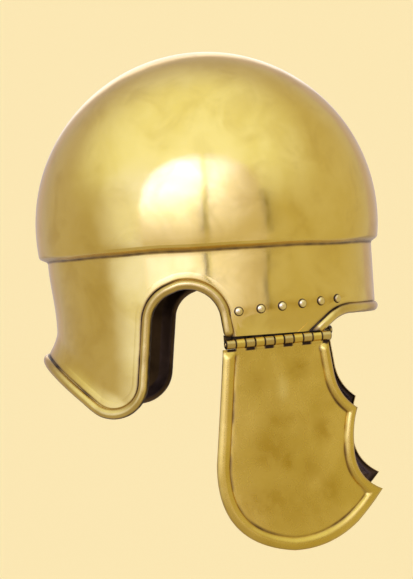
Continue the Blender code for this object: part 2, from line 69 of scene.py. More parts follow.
# Darkness of the rows round the ledge's tip, under it and round the corner to the band: painted shade
# under the overhanging ledge
TIP_DARK = [0.0, 0.0, 0.0, 0.12]
FOLD_DARK = 0.3
CORNER_DARK = [0.45, 0.72, 0.45, 0.1]

# Rows and columns of the sheet's mesh
SHEET_COLUMNS = 336
DOME_ROWS = 46
WALL_ROWS = 61
WALL_ROWS_MARGIN = 0.004
EDGE_SEARCH_RISE = 0.012

# Band, nape and the flare of the neck guard
NECK_TAPER = 0.0035
NECK_HEIGHT = 0.044
FLARE_REACH = 0.0084
FLARE_HEIGHT = 0.018

# Lower edge seen from the side
BROW_DROP = 0.0463
BROW_TURN_RADIUS = 0.022
LUG_DROP = 0.0594
LUG_SLOPE = math.radians(40)
LUG_FRONT_REACH = 0.0725
LUG_BACK_REACH = 0.0169
ARCH_DROP = 0.0241
ARCH_FRONT_REACH = 0.0123
ARCH_FRONT_RADIUS = 0.025
ARCH_TOP_REACH = 0.014
ARCH_TOP_RADIUS = 0.018
ARCH_BACK_REACH = 0.035
ARCH_SHOULDER_DROP = 0.032
ARCH_SHOULDER_RADIUS = 0.024
GUARD_SIDE_LEAN = math.radians(7)
GUARD_CORNER_RADIUS = 0.021
NAPE_REACH = 0.1143
NAPE_DROP = 0.0694
NAPE_SLOPE = math.radians(39)

# Rolled edge
BEAD_RADIUS = 0.0036
BEAD_INSET = 0.0015
BEAD_FILL = 0.955
BEAD_END_TAPER = 0.003
BEAD_END_SHARE = 0.55
BEAD_SIDES = 27
BEAD_PAST_CREST = 10
BEAD_LAST_DEGREES = -204
STRIP_REACH = 0.0082
CUT_BACK = 0.006
END_SUNK = 0.00009

# Lumps of the roll: wavelength along it and share of its radius, each with a second wave
LUMPS = ((0.047, 0.01), (0.021, 0.009), (0.0085, 0.006))
SECOND_LUMP_LENGTH = 1.37
SECOND_LUMP_SHARE = 0.6

# Darkness on the roll: where it turns in, where its underside and its back start and end, how near
# its ends, how far round from the crease, and waves that make it uneven: wavelength, share and phase.
# The underside's darkness and the darkness near the ends are painted shade.
ROLL_TURNS_IN = math.radians(-92)
UNDERSIDE = (math.radians(42), math.radians(76))
ROLL_BACK = (math.radians(88), math.radians(108))
UNDERSIDE_DARK = 0.85
END_SHADE = (0.0006, 0.0019)
CREASE_DEGREES = 12
DARK_WAVES = ((0.023, 1.0, 1.1), (0.0091, 0.8, 0.5))
DARK_RANGE = (-1.0, 1.1)
DARK_LEAST = 0.3
DARK_CHANGE = 0.62

# Sheet that runs into the roll, on its outer face: metres past the roll's mouth, height over
# the face and darkness
STRIP_ROWS = (
    (0.0022, 0.00003, 0.05),
    (0.0014, 0.00003, 0.2),
    (0.0007, 0.00001, 0.42),
    (0.00035, -0.00012, 0.9),
    (0.0001, -0.00035, 1.0),
)
STRIP_LIFT = 0.00003
STRIP_SINK = 0.00006
STRIP_INNER_SINK = 0.00005

# Hinges
KNUCKLES = 11
KNUCKLE_RADIUS = 0.0031
KNUCKLE_EDGE = 0.00025
KNUCKLE_SIDES = 28
PIN_RADIUS = 0.00125
HINGE_BACK_OVERHANG = 0.0034
HINGE_FRONT_OVERHANG = 0.0075
HINGE_PROUD = 0.0012
HINGE_DROP = 0.0042
HINGE_RISE = 0.0015
LEAF = 0.0012
LEAF_SEAT = 0.0006
LEAF_HEIGHT = 0.025
LEAF_BACK_INSET = 0.001
LEAF_FRONT_OVERLAP = 0.003
LEAF_FRONT_REACH = 0.094
LEAF_COLUMNS = 60
LEAF_ROWS = 23
# Painted shade on the straps that join the knuckles to the leaf and to the cheek
LEAF_STRAP_DARK = 0.9
CHEEK_STRAP_DARK = 0.1
PIN_SIDES = 20

# Rivets
RIVETS = 6
RIVET_FIRST_REACH = 0.0236
RIVET_PITCH = 0.0146
RIVET_DROP = 0.0435
RIVET_RISE = 0.0008
RIVET_HEAD_RADIUS = 0.0028
RIVET_HEAD_HEIGHT = 0.0016
RIVET_SHANK_RADIUS = 0.0012
RIVET_TAIL_RADIUS = 0.0021
RIVET_TAIL_HEIGHT = 0.0008
# Painted shade: a dark ring round each rivet's foot and on the lowest rows of its head
RIVET_SHADE_RADIUS = 0.0031
RIVET_SIDES = 24
RIVET_DOME_ROWS = 8
RIVET_FOOT_DARK = (1.0, 0.7, 0.25)

# Stained band along a row of rivets: depth, reach above and below, start and end
STAIN_DEPTH = 1.6
STAIN_REACH = 0.0026
STAIN_START = (RIVET_FIRST_REACH - 0.006, RIVET_FIRST_REACH + 0.004)
STAIN_END = (0.088, 0.096)

# Cheek pieces
CHEEK_SHOULDER = 0.0014
NOTCH_GAP = 0.0001
NOTCH_DEPTH = 0.0018
CHEEK_DROP = 0.1317
CHEEK_WIDTH = 0.0716
CHEEK_BOW = 0.0035
CHEEK_SET = 0.0006
BORDER_WIDTH = 0.0085
BORDER_RISE = 0.0022
BORDER_FULLNESS = 0.8
BORDER_LEVELS = np.arange(0.1, 1.25, 0.1)
GROOVE_PLACE = 1.02
GROOVE_DEPTH = 0.00035
GROOVE_REACH = 0.0006
CREASE_REACH = 0.0009
GROOVE_DARK = 0.38
GROOVE_WAVES = ((0.0061, 0.24, 1.0), (0.0023, 0.14, 0.0))
# Painted shade along the cheek's edge
EDGE_DARK = 0.28
OUTLINE_STEP = 0.0016
LATTICE_STEP = 0.003
MERGE_DISTANCE = 0.0002

# Finger stains of a cheek piece: metres forward of the hinge's back end and down from its axis,
# reach along and down, and depth, which is negative where the sheet is rubbed bright
CHEEK_STAINS = (
    (0.0489, 0.0199, 0.008, 0.0062, 0.85),
    (0.0192, 0.0252, 0.007, 0.008, 0.55),
    (0.0365, 0.0314, 0.0036, 0.008, -0.65),
    (0.0335, 0.0508, 0.0128, 0.0052, 0.6),
    (0.0243, 0.07, 0.013, 0.013, 0.8),
    (0.0364, 0.0795, 0.0038, 0.0055, 0.9),
    (0.0616, 0.0607, 0.007, 0.0095, 0.8),
    (0.0497, 0.0843, 0.0078, 0.0085, 0.6),
    (0.0635, 0.0987, 0.0062, 0.0078, 0.5),
    (0.015, 0.101, 0.016, 0.0085, 0.45),
    (0.033, 0.108, 0.03, 0.016, 0.45),
)

# Cheek outline: point, share of the width forward, share of the drop, bulge of the arc that
# arrives there, and the border's width on that stretch as a share
CHEEK_OUTLINE = (
    ("top back", -0.024, 0.0, 0.0, 1.0),
    ("back", -0.162, 0.545, 0.0, 1.0),
    ("bottom", 0.5, 1.0, 0.23, 1.0),
    ("chin", 1.145, 0.9, 0.09, 1.0),
    ("lower point", 1.421, 0.755, 0.02, 0.95),
    ("lower scallop", 1.166, 0.513, -0.18, 0.8),
    ("upper point", 1.228, 0.337, -0.05, 0.75),
    ("upper scallop", 1.02, 0.141, -0.12, 0.78),
    ("top front", 0.992, 0.0, 0.0, 0.78),
)

CENTRE_Z = SHEET - DOME_RISE
LEDGE_Z = CENTRE_Z - LEDGE_DROP
BROW_Z = LEDGE_Z - BROW_DROP
LUG_Z = LEDGE_Z - LUG_DROP
ARCH_Z = LEDGE_Z - ARCH_DROP
NAPE_Z = LEDGE_Z - NAPE_DROP
LEDGE_SHARE = math.sqrt(1 - (LEDGE_DROP / DOME_RISE) ** 2)
BAND_HALF_WIDTH = DOME_HALF_WIDTH * LEDGE_SHARE - LEDGE_STEP_SIDE
BAND_FRONT = DOME_HALF_LENGTH * LEDGE_SHARE - LEDGE_STEP_FRONT
BAND_BACK = DOME_HALF_LENGTH * LEDGE_SHARE - LEDGE_STEP_BACK
BAND_Z = LEDGE_Z - LEDGE_STEP_SIDE * math.tan(LEDGE_SLOPE)
HINGE_BACK_REACH = LUG_BACK_REACH - HINGE_BACK_OVERHANG
HINGE_FRONT_REACH = LUG_FRONT_REACH + HINGE_FRONT_OVERHANG
RIVET_Z = LEDGE_Z - RIVET_DROP
BORE_RADIUS = PIN_RADIUS + GAP
LEAF_DEPTH = SHEET + LEAF_SEAT
SIDES = ((-1, "right"), (1, "left"))


# Form of the sheet

def smooth(value, start, end):
    """0 before start, 1 after end, with a soft change between."""
    share = np.clip((value - start) / (end - start), 0.0, 1.0)
    return share * share * (3 - 2 * share)


def unit(vectors):
    """Vectors of length 1 along the last axis."""
    return vectors / np.linalg.norm(vectors, axis=-1, keepdims=True)


def nape_line(reach):
    """Height of the neck guard's lower edge at a reach behind the middle."""
    return NAPE_Z - (NAPE_REACH - reach) * math.tan(NAPE_SLOPE)


def plan(turn, z):
    """Band's plan; turn is 0 at the brow, pi at the nape and negative on the right."""
    turn, z = np.broadcast_arrays(np.asarray(turn, float), np.asarray(z, float))
    forward = np.cos(turn)
    taper = NECK_TAPER * smooth(BAND_Z - z, 0.0, NECK_HEIGHT)
    reach = np.where(forward > 0, BAND_FRONT, BAND_BACK - taper)
    return np.stack([BAND_HALF_WIDTH * np.sin(turn), -reach * forward, z], -1)


def plan_normal(turn):
    """Outward direction of the band's plan."""
    turn = np.asarray(turn, float)
    across = np.sin(turn) / BAND_HALF_WIDTH
    along = -np.cos(turn) / BAND_FRONT
    return unit(np.stack([across, along, across * 0.0], -1))


def turn_at(reach):
    """Turn at which the plain band lies at this reach behind the middle."""
    depth = BAND_BACK if reach > 0 else BAND_FRONT
    return math.acos(max(-1.0, min(1.0, -reach / depth)))


def hinge_data(side):
    """Back end of the hinge axis, unit vectors forward, outward and down, and its length."""
    ends = []
    for reach, lift in ((-HINGE_BACK_REACH, 0.0), (-HINGE_FRONT_REACH, HINGE_RISE)):
        turn = side * turn_at(reach)
        end = plan(turn, LUG_Z - HINGE_DROP - HINGE_RISE / 2 + lift)
        ends.append(end + plan_normal(turn) * HINGE_PROUD)
    along = unit(ends[1] - ends[0])
    outward = unit(np.cross(along, (0.0, 0.0, -side)))
    down = np.cross(outward, along) * side
    return ends[0], along, outward, down, np.linalg.norm(ends[1] - ends[0])


HINGE = {side: hinge_data(side) for side, _ in SIDES}


def wall(turn, z):
    """Outer face of the wall below the ledge, with the nape's flare and the flattened lugs."""
    point = plan(turn, z)
    turn = np.broadcast_to(turn, point.shape[:-1])
    flare = FLARE_REACH * np.maximum(0.0, -np.cos(turn)) ** 2
    height = point[..., 2] - nape_line(point[..., 1] + flare)
    spread = np.minimum(1.2, np.maximum(0.0, 1 - height / FLARE_HEIGHT) ** 1.5)
    point = point + plan_normal(turn) * (flare * spread)[..., None]
    fade = BAND_FRONT * 0.12
    flat = smooth(RIVET_Z - point[..., 2], 0.0, LUG_DROP - RIVET_DROP - LEAF)
    flat = flat * smooth(point[..., 1], -HINGE_FRONT_REACH - fade, -HINGE_FRONT_REACH)
    flat = flat * smooth(-point[..., 1], HINGE_BACK_REACH - fade, HINGE_BACK_REACH)
    for side, _ in SIDES:
        back, _, outward, _, _ = HINGE[side]
        share = flat * (np.sin(turn) * side > 0)
        point = point - outward * (((point - back) @ outward) * share)[..., None]
    return point


def wall_normal(turn, z):
    """Outward normal of the wall."""
    step = 0.0004
    across = wall(turn + step / BAND_FRONT, z) - wall(turn - step / BAND_FRONT, z)
    upward = wall(turn, z + step) - wall(turn, z - step)
    return unit(np.cross(across, upward))


def under_wall(turn, z, depth):
    """Point at a depth under the wall's outer face."""
    return wall(turn, z) - wall_normal(turn, z) * depth


def turn_for(y, z):
    """Positive turn at which the finished wall lies at this y."""
    y, z = np.broadcast_arrays(np.asarray(y, float), np.asarray(z, float))
    low, high = np.zeros(y.shape), np.full(y.shape, math.pi)
    for _ in range(30):
        middle = (low + high) / 2
        before = wall(middle, z)[..., 1] < y
        low, high = np.where(before, middle, low), np.where(before, high, middle)
    return (low + high) / 2


def rounded_path(corners, step):
    """Polyline in the side view with each corner (y, z, radius) rounded by an arc."""
    points = [Vector(corners[0][:2])]
    for before, corner, after in zip(corners, corners[1:], corners[2:]):
        middle = Vector(corner[:2])
        first = (Vector(before[:2]) - middle).normalized()
        last = (Vector(after[:2]) - middle).normalized()
        half = first.angle(last) / 2
        radius = corner[2]
        if radius == 0:
            points.append(middle)
            continue
        centre = middle + (first + last).normalized() * radius / math.sin(half)
        start = middle + first * radius / math.tan(half) - centre
        end = middle + last * radius / math.tan(half) - centre
        sweep = start.angle_signed(end)
        count = max(2, round(abs(sweep) * radius / step))
        for index in range(count + 1):
            points.append(centre + Matrix.Rotation(-sweep * index / count, 2) @ start)
    points.append(Vector(corners[-1][:2]))
    return points


def resampled(points, step):
    """Polyline with its long straight runs split into steps."""
    result = [points[0]]
    for start, end in zip(points, points[1:]):
        count = max(1, round((end - start).length / step))
        result += [start.lerp(end, index / count) for index in range(1, count + 1)]
    return result


def edge_corners():
    """Side-view corners of the lower edge, from ahead of the brow to behind the nape."""
    run = (LUG_DROP - BROW_DROP) / math.tan(LUG_SLOPE)
    shoulder_z = LEDGE_Z - ARCH_SHOULDER_DROP
    lean = math.tan(GUARD_SIDE_LEAN)
    rise = math.tan(NAPE_SLOPE)
    low_y = (ARCH_BACK_REACH + lean * (shoulder_z - NAPE_Z + NAPE_REACH * rise)) / (1 + lean * rise)
    return (
        (-DOME_HALF_LENGTH * 1.2, BROW_Z, 0.0),
        (-LUG_FRONT_REACH - run, BROW_Z, BROW_TURN_RADIUS),
        (-LUG_FRONT_REACH, LUG_Z, 0.0),
        (-LUG_BACK_REACH, LUG_Z, 0.0),
        (-ARCH_FRONT_REACH, ARCH_Z, ARCH_FRONT_RADIUS),
        (ARCH_TOP_REACH, ARCH_Z, ARCH_TOP_RADIUS),
        (ARCH_BACK_REACH, shoulder_z, ARCH_SHOULDER_RADIUS),
        (low_y, nape_line(low_y), GUARD_CORNER_RADIUS),
        (DOME_HALF_LENGTH * 1.3, nape_line(DOME_HALF_LENGTH * 1.3), 0.0),
    )


EDGE = edge_corners()
PATH_STEP = 0.0012


def mirrored(turns, heights):
    """Turns and heights from the right side round to the left, from those of the left half."""
    turns, heights = np.array(turns), np.array(heights)
    first = 1 if turns[0] == 0 else 0
    return (np.concatenate([-turns[::-1], turns[first:]]),
            np.concatenate([heights[::-1], heights[first:]]))


def side_path(corners, low, high):
    """Turns and heights along the edge through some corners, between two reaches."""
    path = resampled(rounded_path(corners, PATH_STEP), PATH_STEP)
    y, z = np.array([tuple(point) for point in path if low < point.x < high]).T
    return turn_for(y, z), z


def brow_path():
    """Turns and heights along the brow's edge, from the right lug round the front to the left."""
    turns, z = side_path(EDGE[:3], -LUG_FRONT_REACH - BROW_TURN_RADIUS, math.inf)
    count = round(turns[0] * BAND_FRONT / PATH_STEP)
    ahead = turns[0] * np.arange(count) / count
    return mirrored(np.concatenate([ahead, turns]), np.concatenate([ahead * 0 + BROW_Z, z]))


def guard_path():
    """Turns and heights along the guard's edge, from the left lug round the nape to the right."""
    corner_y = EDGE[-2][0] + GUARD_CORNER_RADIUS * (1 + math.sin(NAPE_SLOPE))
    turns, z = side_path(EDGE[3:], -math.inf, corner_y)
    count = round((math.pi - turns[-1]) * BAND_BACK / PATH_STEP)
    behind = turns[-1] + (math.pi - turns[-1]) * np.arange(1, count + 1) / count
    low = np.full(count, z[-1])
    for _ in range(24):
        low = (low + nape_line(wall(behind, low)[..., 1])) / 2
    turns, heights = np.concatenate([turns, behind]), np.concatenate([z, low])
    return (np.concatenate([turns, 2 * math.pi - turns[-2::-1]]),
            np.concatenate([heights, heights[-2::-1]]))


BROW = brow_path()
GUARD = guard_path()


# Mesh helpers

def new_object(name, data):
    """New object in the scene."""
    item = bpy.data.objects.new(name, data)
    bpy.context.scene.collection.objects.link(item)
    return item


def piece(name, verts, faces, body, slot, replaced, materials, picks=None, **marks):
    """Mesh that rides a body; marks are named values per point, picks a material per face."""
    mesh = bpy.data.meshes.new(name)
    mesh.from_pydata(np.asarray(verts).tolist(), [], faces)
    mesh.validate()
    item = new_object(name, mesh)
    for label, values in marks.items():
        layer = mesh.attributes.new(label, "FLOAT", "POINT")
        layer.data.foreach_set("value", np.asarray(values, np.float32))
    for material in materials:
        mesh.materials.append(material)
    if picks is not None:
        mesh.polygons.foreach_set("material_index", np.asarray(picks, np.int32))
    mesh.shade_smooth()
    mesh.set_sharp_from_angle(angle=SHARP_ANGLE)
    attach(item, body)
    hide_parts(replaced)


def swept(rings, closed=False):
    """Points and faces of a closed body through an array of rings (count, sides, 3)."""
    count, sides = rings.shape[:2]
    numbers = np.arange(count * sides).reshape(count, sides)
    faces = []
    for row in range(count if closed else count - 1):
        near, far = numbers[row], numbers[(row + 1) % count]
        for side in range(sides):
            other = (side + 1) % sides
            faces.append((int(near[side]), int(near[other]), int(far[other]), int(far[side])))
    if not closed:
        faces.append(tuple(int(i) for i in numbers[0][::-1]))
        faces.append(tuple(int(i) for i in numbers[-1]))
    return rings.reshape(-1, 3), faces


def joined(bodies):
    """Points, faces and darkness of several bodies as one."""
    verts, faces, dark, shift = [], [], [], 0
    for body_verts, body_faces, body_dark in bodies:
        verts.append(body_verts)
        faces += [tuple(index + shift for index in face) for face in body_faces]
        dark.append(body_dark)
        shift += len(body_verts)
    return np.concatenate(verts), faces, np.concatenate(dark)


def outward_faces(verts, faces):
    """Faces turned so that the closed body's volume is positive."""
    verts = np.asarray(verts)
    volume = 0.0
    for face in faces:
        for second, third in zip(face[1:], face[2:]):
            volume += np.dot(verts[face[0]], np.cross(verts[second], verts[third]))
    return faces if volume > 0 else [tuple(reversed(face)) for face in faces]


# Finish

def feed(tree, item, inputs):
    """Puts values or sockets into a node's inputs, by name or number."""
    for key, value in inputs.items():
        if isinstance(value, bpy.types.NodeSocket):
            tree.links.new(value, item.inputs[key])
        else:
            item.inputs[key].default_value = value


def node(tree, kind, inputs=None, **settings):
    """New node with settings and inputs."""
    item = tree.nodes.new(kind)
    for key, value in settings.items():
        setattr(item, key, value)
    feed(tree, item, inputs or {})
    return item


def noise(tree, place, scale, detail=3.0, rough=0.5, distort=0.0, stretch=None):
    """Noise value over the surface, stretched by a vector if wanted."""
    if stretch:
        place = node(tree, "ShaderNodeMapping", {"Vector": place, "Scale": stretch}).outputs[0]
    item = node(tree, "ShaderNodeTexNoise", {"Vector": place, "Scale": scale, "Detail": detail,
                                             "Roughness": rough, "Distortion": distort})
    return item.outputs["Fac"]


def between(tree, value, low, high, start=0.0, end=1.0):
    """Value mapped softly from low..high to start..end."""
    item = node(tree, "ShaderNodeMapRange", {"Value": value, "From Min": low, "From Max": high,
                                             "To Min": start, "To Max": end},
                interpolation_type="SMOOTHSTEP")
    return item.outputs[0]


def maths(tree, first, second, operation="MULTIPLY", clamp=False):
    """Product of two values, or the result of another operation."""
    return node(tree, "ShaderNodeMath", {0: first, 1: second},
                operation=operation, use_clamp=clamp).outputs[0]


def blended(tree, share, first, second):
    """Colour between two by a share."""
    low, high = [value if isinstance(value, bpy.types.NodeSocket) else (*value, 1.0)
                 for value in (first, second)]
    return node(tree, "ShaderNodeMix", {0: share, 6: low, 7: high}, data_type="RGBA").outputs[2]


# Colours that the crease mark darkens towards, where it is partly painted shade, and the colour of rubbed
# brass
CRUST_AND_SHADE = (0.035, 0.018, 0.006)
TARNISH_AND_SHADE = (0.34, 0.2, 0.035)
RUBBED = (0.88, 0.65, 0.15)

# Scales of the noises in the brass, and heights of its waves, dents and scratches in metres
CLOUDS = 22.0
PATCHES = 34.0
MOTTLE = 140.0
SCRATCHES = 900.0
SCRATCH_STRETCH = (1.0, 0.06, 1.0)
SCRATCH_HEIGHT = 0.0000025
WAVES = 17.0
WAVE_HEIGHT = 0.0022
DENTS = 62.0
DENT_HEIGHT = 0.00016


def brass(name, light, deep, stain, stain_share, roughness, wave, seed, coat=0.0, tarnish_and_shade=TARNISH_AND_SHADE):
    """Worked brass: clouded colour, stains, dark creases partly made of painted shade, fine scratches and
    soft waves.
    """
    material = bpy.data.materials.new(name)
    material.use_nodes = True
    tree = material.node_tree
    place = node(tree, "ShaderNodeTexCoord").outputs["Object"]
    shift = (seed, seed * 0.7, 0)
    place = node(tree, "ShaderNodeMapping", {"Vector": place, "Location": shift}).outputs[0]
    crease = node(tree, "ShaderNodeAttribute", attribute_name="crease").outputs["Fac"]
    mottle = noise(tree, place, MOTTLE, 2.0, 0.45)
    clouds = noise(tree, place, CLOUDS, 4.0, 0.55, 0.4)
    colour = blended(tree, between(tree, clouds, 0.34, 0.68), deep, light)
    patches = between(tree, noise(tree, place, PATCHES, 3.0, 0.55, 0.6), 0.46, 0.68, 0.0, stain_share)
    patches = maths(tree, patches, between(tree, mottle, 0.2, 0.8, 0.7, 1.0))
    colour = blended(tree, patches, colour, stain)
    placed = node(tree, "ShaderNodeAttribute", attribute_name="stain").outputs["Fac"]
    spots = maths(tree, placed, between(tree, mottle, 0.3, 0.66, 0.3, 0.85), clamp=True)
    colour = blended(tree, spots, colour, stain)
    colour = blended(tree, maths(tree, placed, -1.0, clamp=True), colour, RUBBED)
    # The crease mark darkens the colour: painted shade under the ledge and the rolled edges, round the
    # rivets, in the hinge gaps and the cheek notches, and darkening into creases
    grime_and_shade = maths(tree, crease, between(tree, mottle, 0.2, 0.8, 1.25, 0.8), clamp=True)
    colour = blended(tree, between(tree, grime_and_shade, 0.0, 0.55), colour, tarnish_and_shade)
    colour = blended(tree, between(tree, grime_and_shade, 0.45, 1.0), colour, CRUST_AND_SHADE)
    shine = between(tree, mottle, 0.2, 0.8, roughness * 0.88, roughness * 1.14)
    shine = maths(tree, shine, maths(tree, patches, 0.12), "ADD")
    shine = maths(tree, shine, maths(tree, grime_and_shade, 0.35), "ADD", clamp=True)
    waves = maths(tree, noise(tree, place, WAVES, 1.5, 0.4), WAVE_HEIGHT * wave)
    dents = maths(tree, noise(tree, place, DENTS, 1.0, 0.4), DENT_HEIGHT * wave)
    scratches = maths(tree, noise(tree, place, SCRATCHES, 2.0, 0.6, 0.0, SCRATCH_STRETCH), SCRATCH_HEIGHT)
    height = maths(tree, maths(tree, waves, dents, "ADD"), scratches, "ADD")
    bump = node(tree, "ShaderNodeBump", {"Height": height, "Distance": 1.0, "Strength": 1.0})
    feed(tree, tree.nodes["Principled BSDF"], {
        "Base Color": colour, "Metallic": 1.0, "Roughness": shine, "Normal": bump.outputs[0],
        "Coat Weight": coat, "Coat Roughness": 0.05})
    return material


# Each metal: light, deep and stain colour, then share of stains, roughness, waviness, noise
# shift and clear coat
POLISHED = brass("polished_brass_sheet", (0.85, 0.6, 0.118), (0.78, 0.53, 0.076), (0.62, 0.385, 0.036),
                 0.45, 0.145, 1.0, 0.0, 0.5)
EDGE_METAL = brass("rolled_edge_brass", (0.78, 0.55, 0.115), (0.62, 0.41, 0.07), (0.4, 0.24, 0.045),
                   0.35, 0.19, 0.4, 3.1, 0.3)
CHEEK_METAL = brass("stained_cheek_brass", (0.76, 0.51, 0.08), (0.66, 0.43, 0.052), (0.47, 0.265, 0.012),
                    0.22, 0.26, 0.6, 7.3, 0.1)
HINGE_METAL = brass("hinge_brass", (0.74, 0.53, 0.13), (0.54, 0.36, 0.075), (0.24, 0.15, 0.03),
                    0.35, 0.24, 0.3, 5.2, 0.2)
RIVET_METAL = brass("rivet_brass", (0.88, 0.69, 0.26), (0.76, 0.56, 0.16), (0.5, 0.35, 0.1),
                    0.12, 0.16, 0.2, 9.4, 0.3)
# Dark inside brass: tarnished metal that is also partly painted shade of the helmet's inside
INSIDE_METAL = brass("dull_inside_brass", (0.11, 0.064, 0.028), (0.056, 0.032, 0.014),
                     (0.03, 0.017, 0.007), 0.6, 0.42, 0.8, 11.0, tarnish_and_shade=CRUST_AND_SHADE)


# Helmet sheet

def curve(first, middle, last):
    """Four arrays of points along a quadratic curve, without its start."""
    return [first * (1 - s) ** 2 + middle * 2 * s * (1 - s) + last * s * s
            for s in (0.25, 0.5, 0.75, 1.0)]


def sheet_columns():
    """Turns of the sheet's columns, with one on each end of each lug."""
    turns = np.pi * (2 * np.arange(SHEET_COLUMNS) / SHEET_COLUMNS - 1)
    for reach in (LUG_BACK_REACH, LUG_FRONT_REACH):
        turn = float(turn_for(-reach, LUG_Z))
        for side, _ in SIDES:
            turns[np.argmin(abs(turns - side * turn))] = side * turn
    return turns


def sheet_heights():
    """Heights of the wall's rows, with one on the lug's lower edge."""
    heights = np.linspace(BAND_Z - WALL_ROWS_MARGIN, min(GUARD[1]) - WALL_ROWS_MARGIN, WALL_ROWS)
    heights[np.argmin(abs(heights - LUG_Z))] = LUG_Z
    return heights


def sheet_rows(turns, heights, depth):
    """Rows of one face of the sheet and how dark each row's crease is, with painted shade under the
    ledge.
    """
    fold = depth * (1 - math.sin(LEDGE_SLOPE)) / math.cos(LEDGE_SLOPE)
    tip_z = LEDGE_Z + fold
    length, width, rise = DOME_HALF_LENGTH - depth, DOME_HALF_WIDTH - depth, DOME_RISE - depth

    def dome(angle):
        share = math.cos(angle)
        z = np.full(turns.shape, CENTRE_Z + rise * math.sin(angle))
        return np.stack([width * share * np.sin(turns), -length * share * np.cos(turns), z], -1)

    tip_angle = math.asin((tip_z - CENTRE_Z) / rise)
    last = tip_angle + TIP_ROUND / rise
    top = math.pi / 2
    rows = [dome(top + (last - top) * row / DOME_ROWS) for row in range(1, DOME_ROWS + 1)]
    marks = [0.0] * DOME_ROWS + TIP_DARK + [FOLD_DARK] + CORNER_DARK + [0.0] * len(heights)
    tip = dome(tip_angle)
    corner = under_wall(turns, BAND_Z + fold, depth)
    inward = unit(corner - tip)
    rows += curve(rows[-1], tip, tip + inward * TIP_ROUND)
    rows.append(corner - inward * CORNER_ROUND)
    below = under_wall(turns, BAND_Z + fold - CORNER_ROUND, depth)
    rows += curve(rows[-1], corner, below)
    rows += [under_wall(turns, z, depth) for z in heights]
    return np.array(rows), np.array(marks)


def add_ledge_wave(points):
    """Moves the ledge's hammered line in the sheet's rows a little up and down."""
    turns = np.arctan2(points[..., 0], -points[..., 1])
    wave = sum(share * np.sin(count * turns + phase) for count, share, phase in LEDGE_WAVES)
    near = np.exp(-((points[..., 2] - LEDGE_Z) / LEDGE_WAVE_REACH) ** 2)
    points[..., 2] += wave * near * LEDGE_WAVE


def rivet_stain(points):
    """How stained the sheet is along each row of rivets."""
    reach = -points[..., 1]
    line = RIVET_Z + RIVET_RISE * (reach - RIVET_FIRST_REACH) / RIVET_PITCH
    across = np.exp(-((points[..., 2] - line) / STAIN_REACH) ** 2)
    return STAIN_DEPTH * across * smooth(reach, *STAIN_START) * (1 - smooth(reach, *STAIN_END))


def edge_height(y):
    """Height of the lower edge at each y."""
    path = np.array([tuple(point) for point in rounded_path(EDGE, PATH_STEP)])
    return np.interp(y, path[:, 0], path[:, 1])


def build_sheet():
    """Dome, ledge, band, lugs and guard as one sheet that ends under the rolled edges."""
    turns, heights = sheet_columns(), sheet_heights()
    outer, marks = sheet_rows(turns, heights, 0.0)
    inner, _ = sheet_rows(turns, heights, SHEET)
    add_ledge_wave(outer)
    add_ledge_wave(inner)
    rows, columns = outer.shape[:2]
    cells = (outer[:-1] + outer[1:]) / 2
    cells = (cells + np.roll(cells, -1, axis=1)) / 2
    keep = cells[..., 2] > edge_height(cells[..., 1])
    line = np.concatenate([wall(*BROW), wall(*GUARD)])
    tree = KDTree(len(line))
    for index, point in enumerate(line):
        tree.insert(point, index)
    tree.balance()
    low = np.argwhere(keep & (cells[..., 2] < ARCH_Z + EDGE_SEARCH_RISE))
    for row, column in low:
        keep[row, column] = tree.find(cells[row, column])[2] > CUT_BACK
    total = rows * columns
    faces, picks, rim = [], [], {}
    for row, column in np.argwhere(keep):
        after = (column + 1) % columns
        a, b = row * columns + column, row * columns + after
        c, d = (row + 1) * columns + after, (row + 1) * columns + column
        quad = (int(a), int(d), int(c), int(b))
        faces += [quad, tuple(index + total for index in reversed(quad))]
        picks += [0, 1]
        rim.update(dict.fromkeys(zip(quad, quad[1:] + quad[:1])))
    top = total * 2
    for column in range(columns):
        after = (column + 1) % columns
        faces += [(column, after, top), (total + after, total + column, top + 1)]
        picks += [0, 1]
        rim[(column, after)] = None
    for start, end in rim:
        if (end, start) not in rim:
            faces.append((end, start, start + total, end + total))
            picks.append(0)
    apex = np.array([[0, 0, CENTRE_Z + DOME_RISE], [0, 0, CENTRE_Z + DOME_RISE - SHEET]])
    verts = np.concatenate([outer.reshape(-1, 3), inner.reshape(-1, 3), apex])
    dark = np.repeat(marks, columns)
    dark = np.concatenate([dark, dark * 0.5, [0.0, 0.0]])
    stain = np.concatenate([rivet_stain(outer).reshape(-1), np.zeros(total + 2)])
    piece("helmet_sheet", verts, faces, "helmet", "polished_brass", "shell",
          (POLISHED, INSIDE_METAL), picks, crease=dark, stain=stain)


# Rolled edges

def backing_depth(y, z):
    """Deepest place of the rolled edge under the wall: its back is flat over a hinge leaf."""
    full = BEAD_INSET + BEAD_RADIUS
    front = -LEAF_FRONT_REACH - BEAD_RADIUS
    beside = smooth(y, front - BEAD_RADIUS * 2, front) * smooth(-y, -BEAD_RADIUS, BEAD_RADIUS)
    beside = beside * smooth(LUG_Z + LEAF_HEIGHT + BEAD_RADIUS * 3 - z, 0.0, BEAD_RADIUS * 2)
    return full + (SHEET * 0.8 - full) * beside


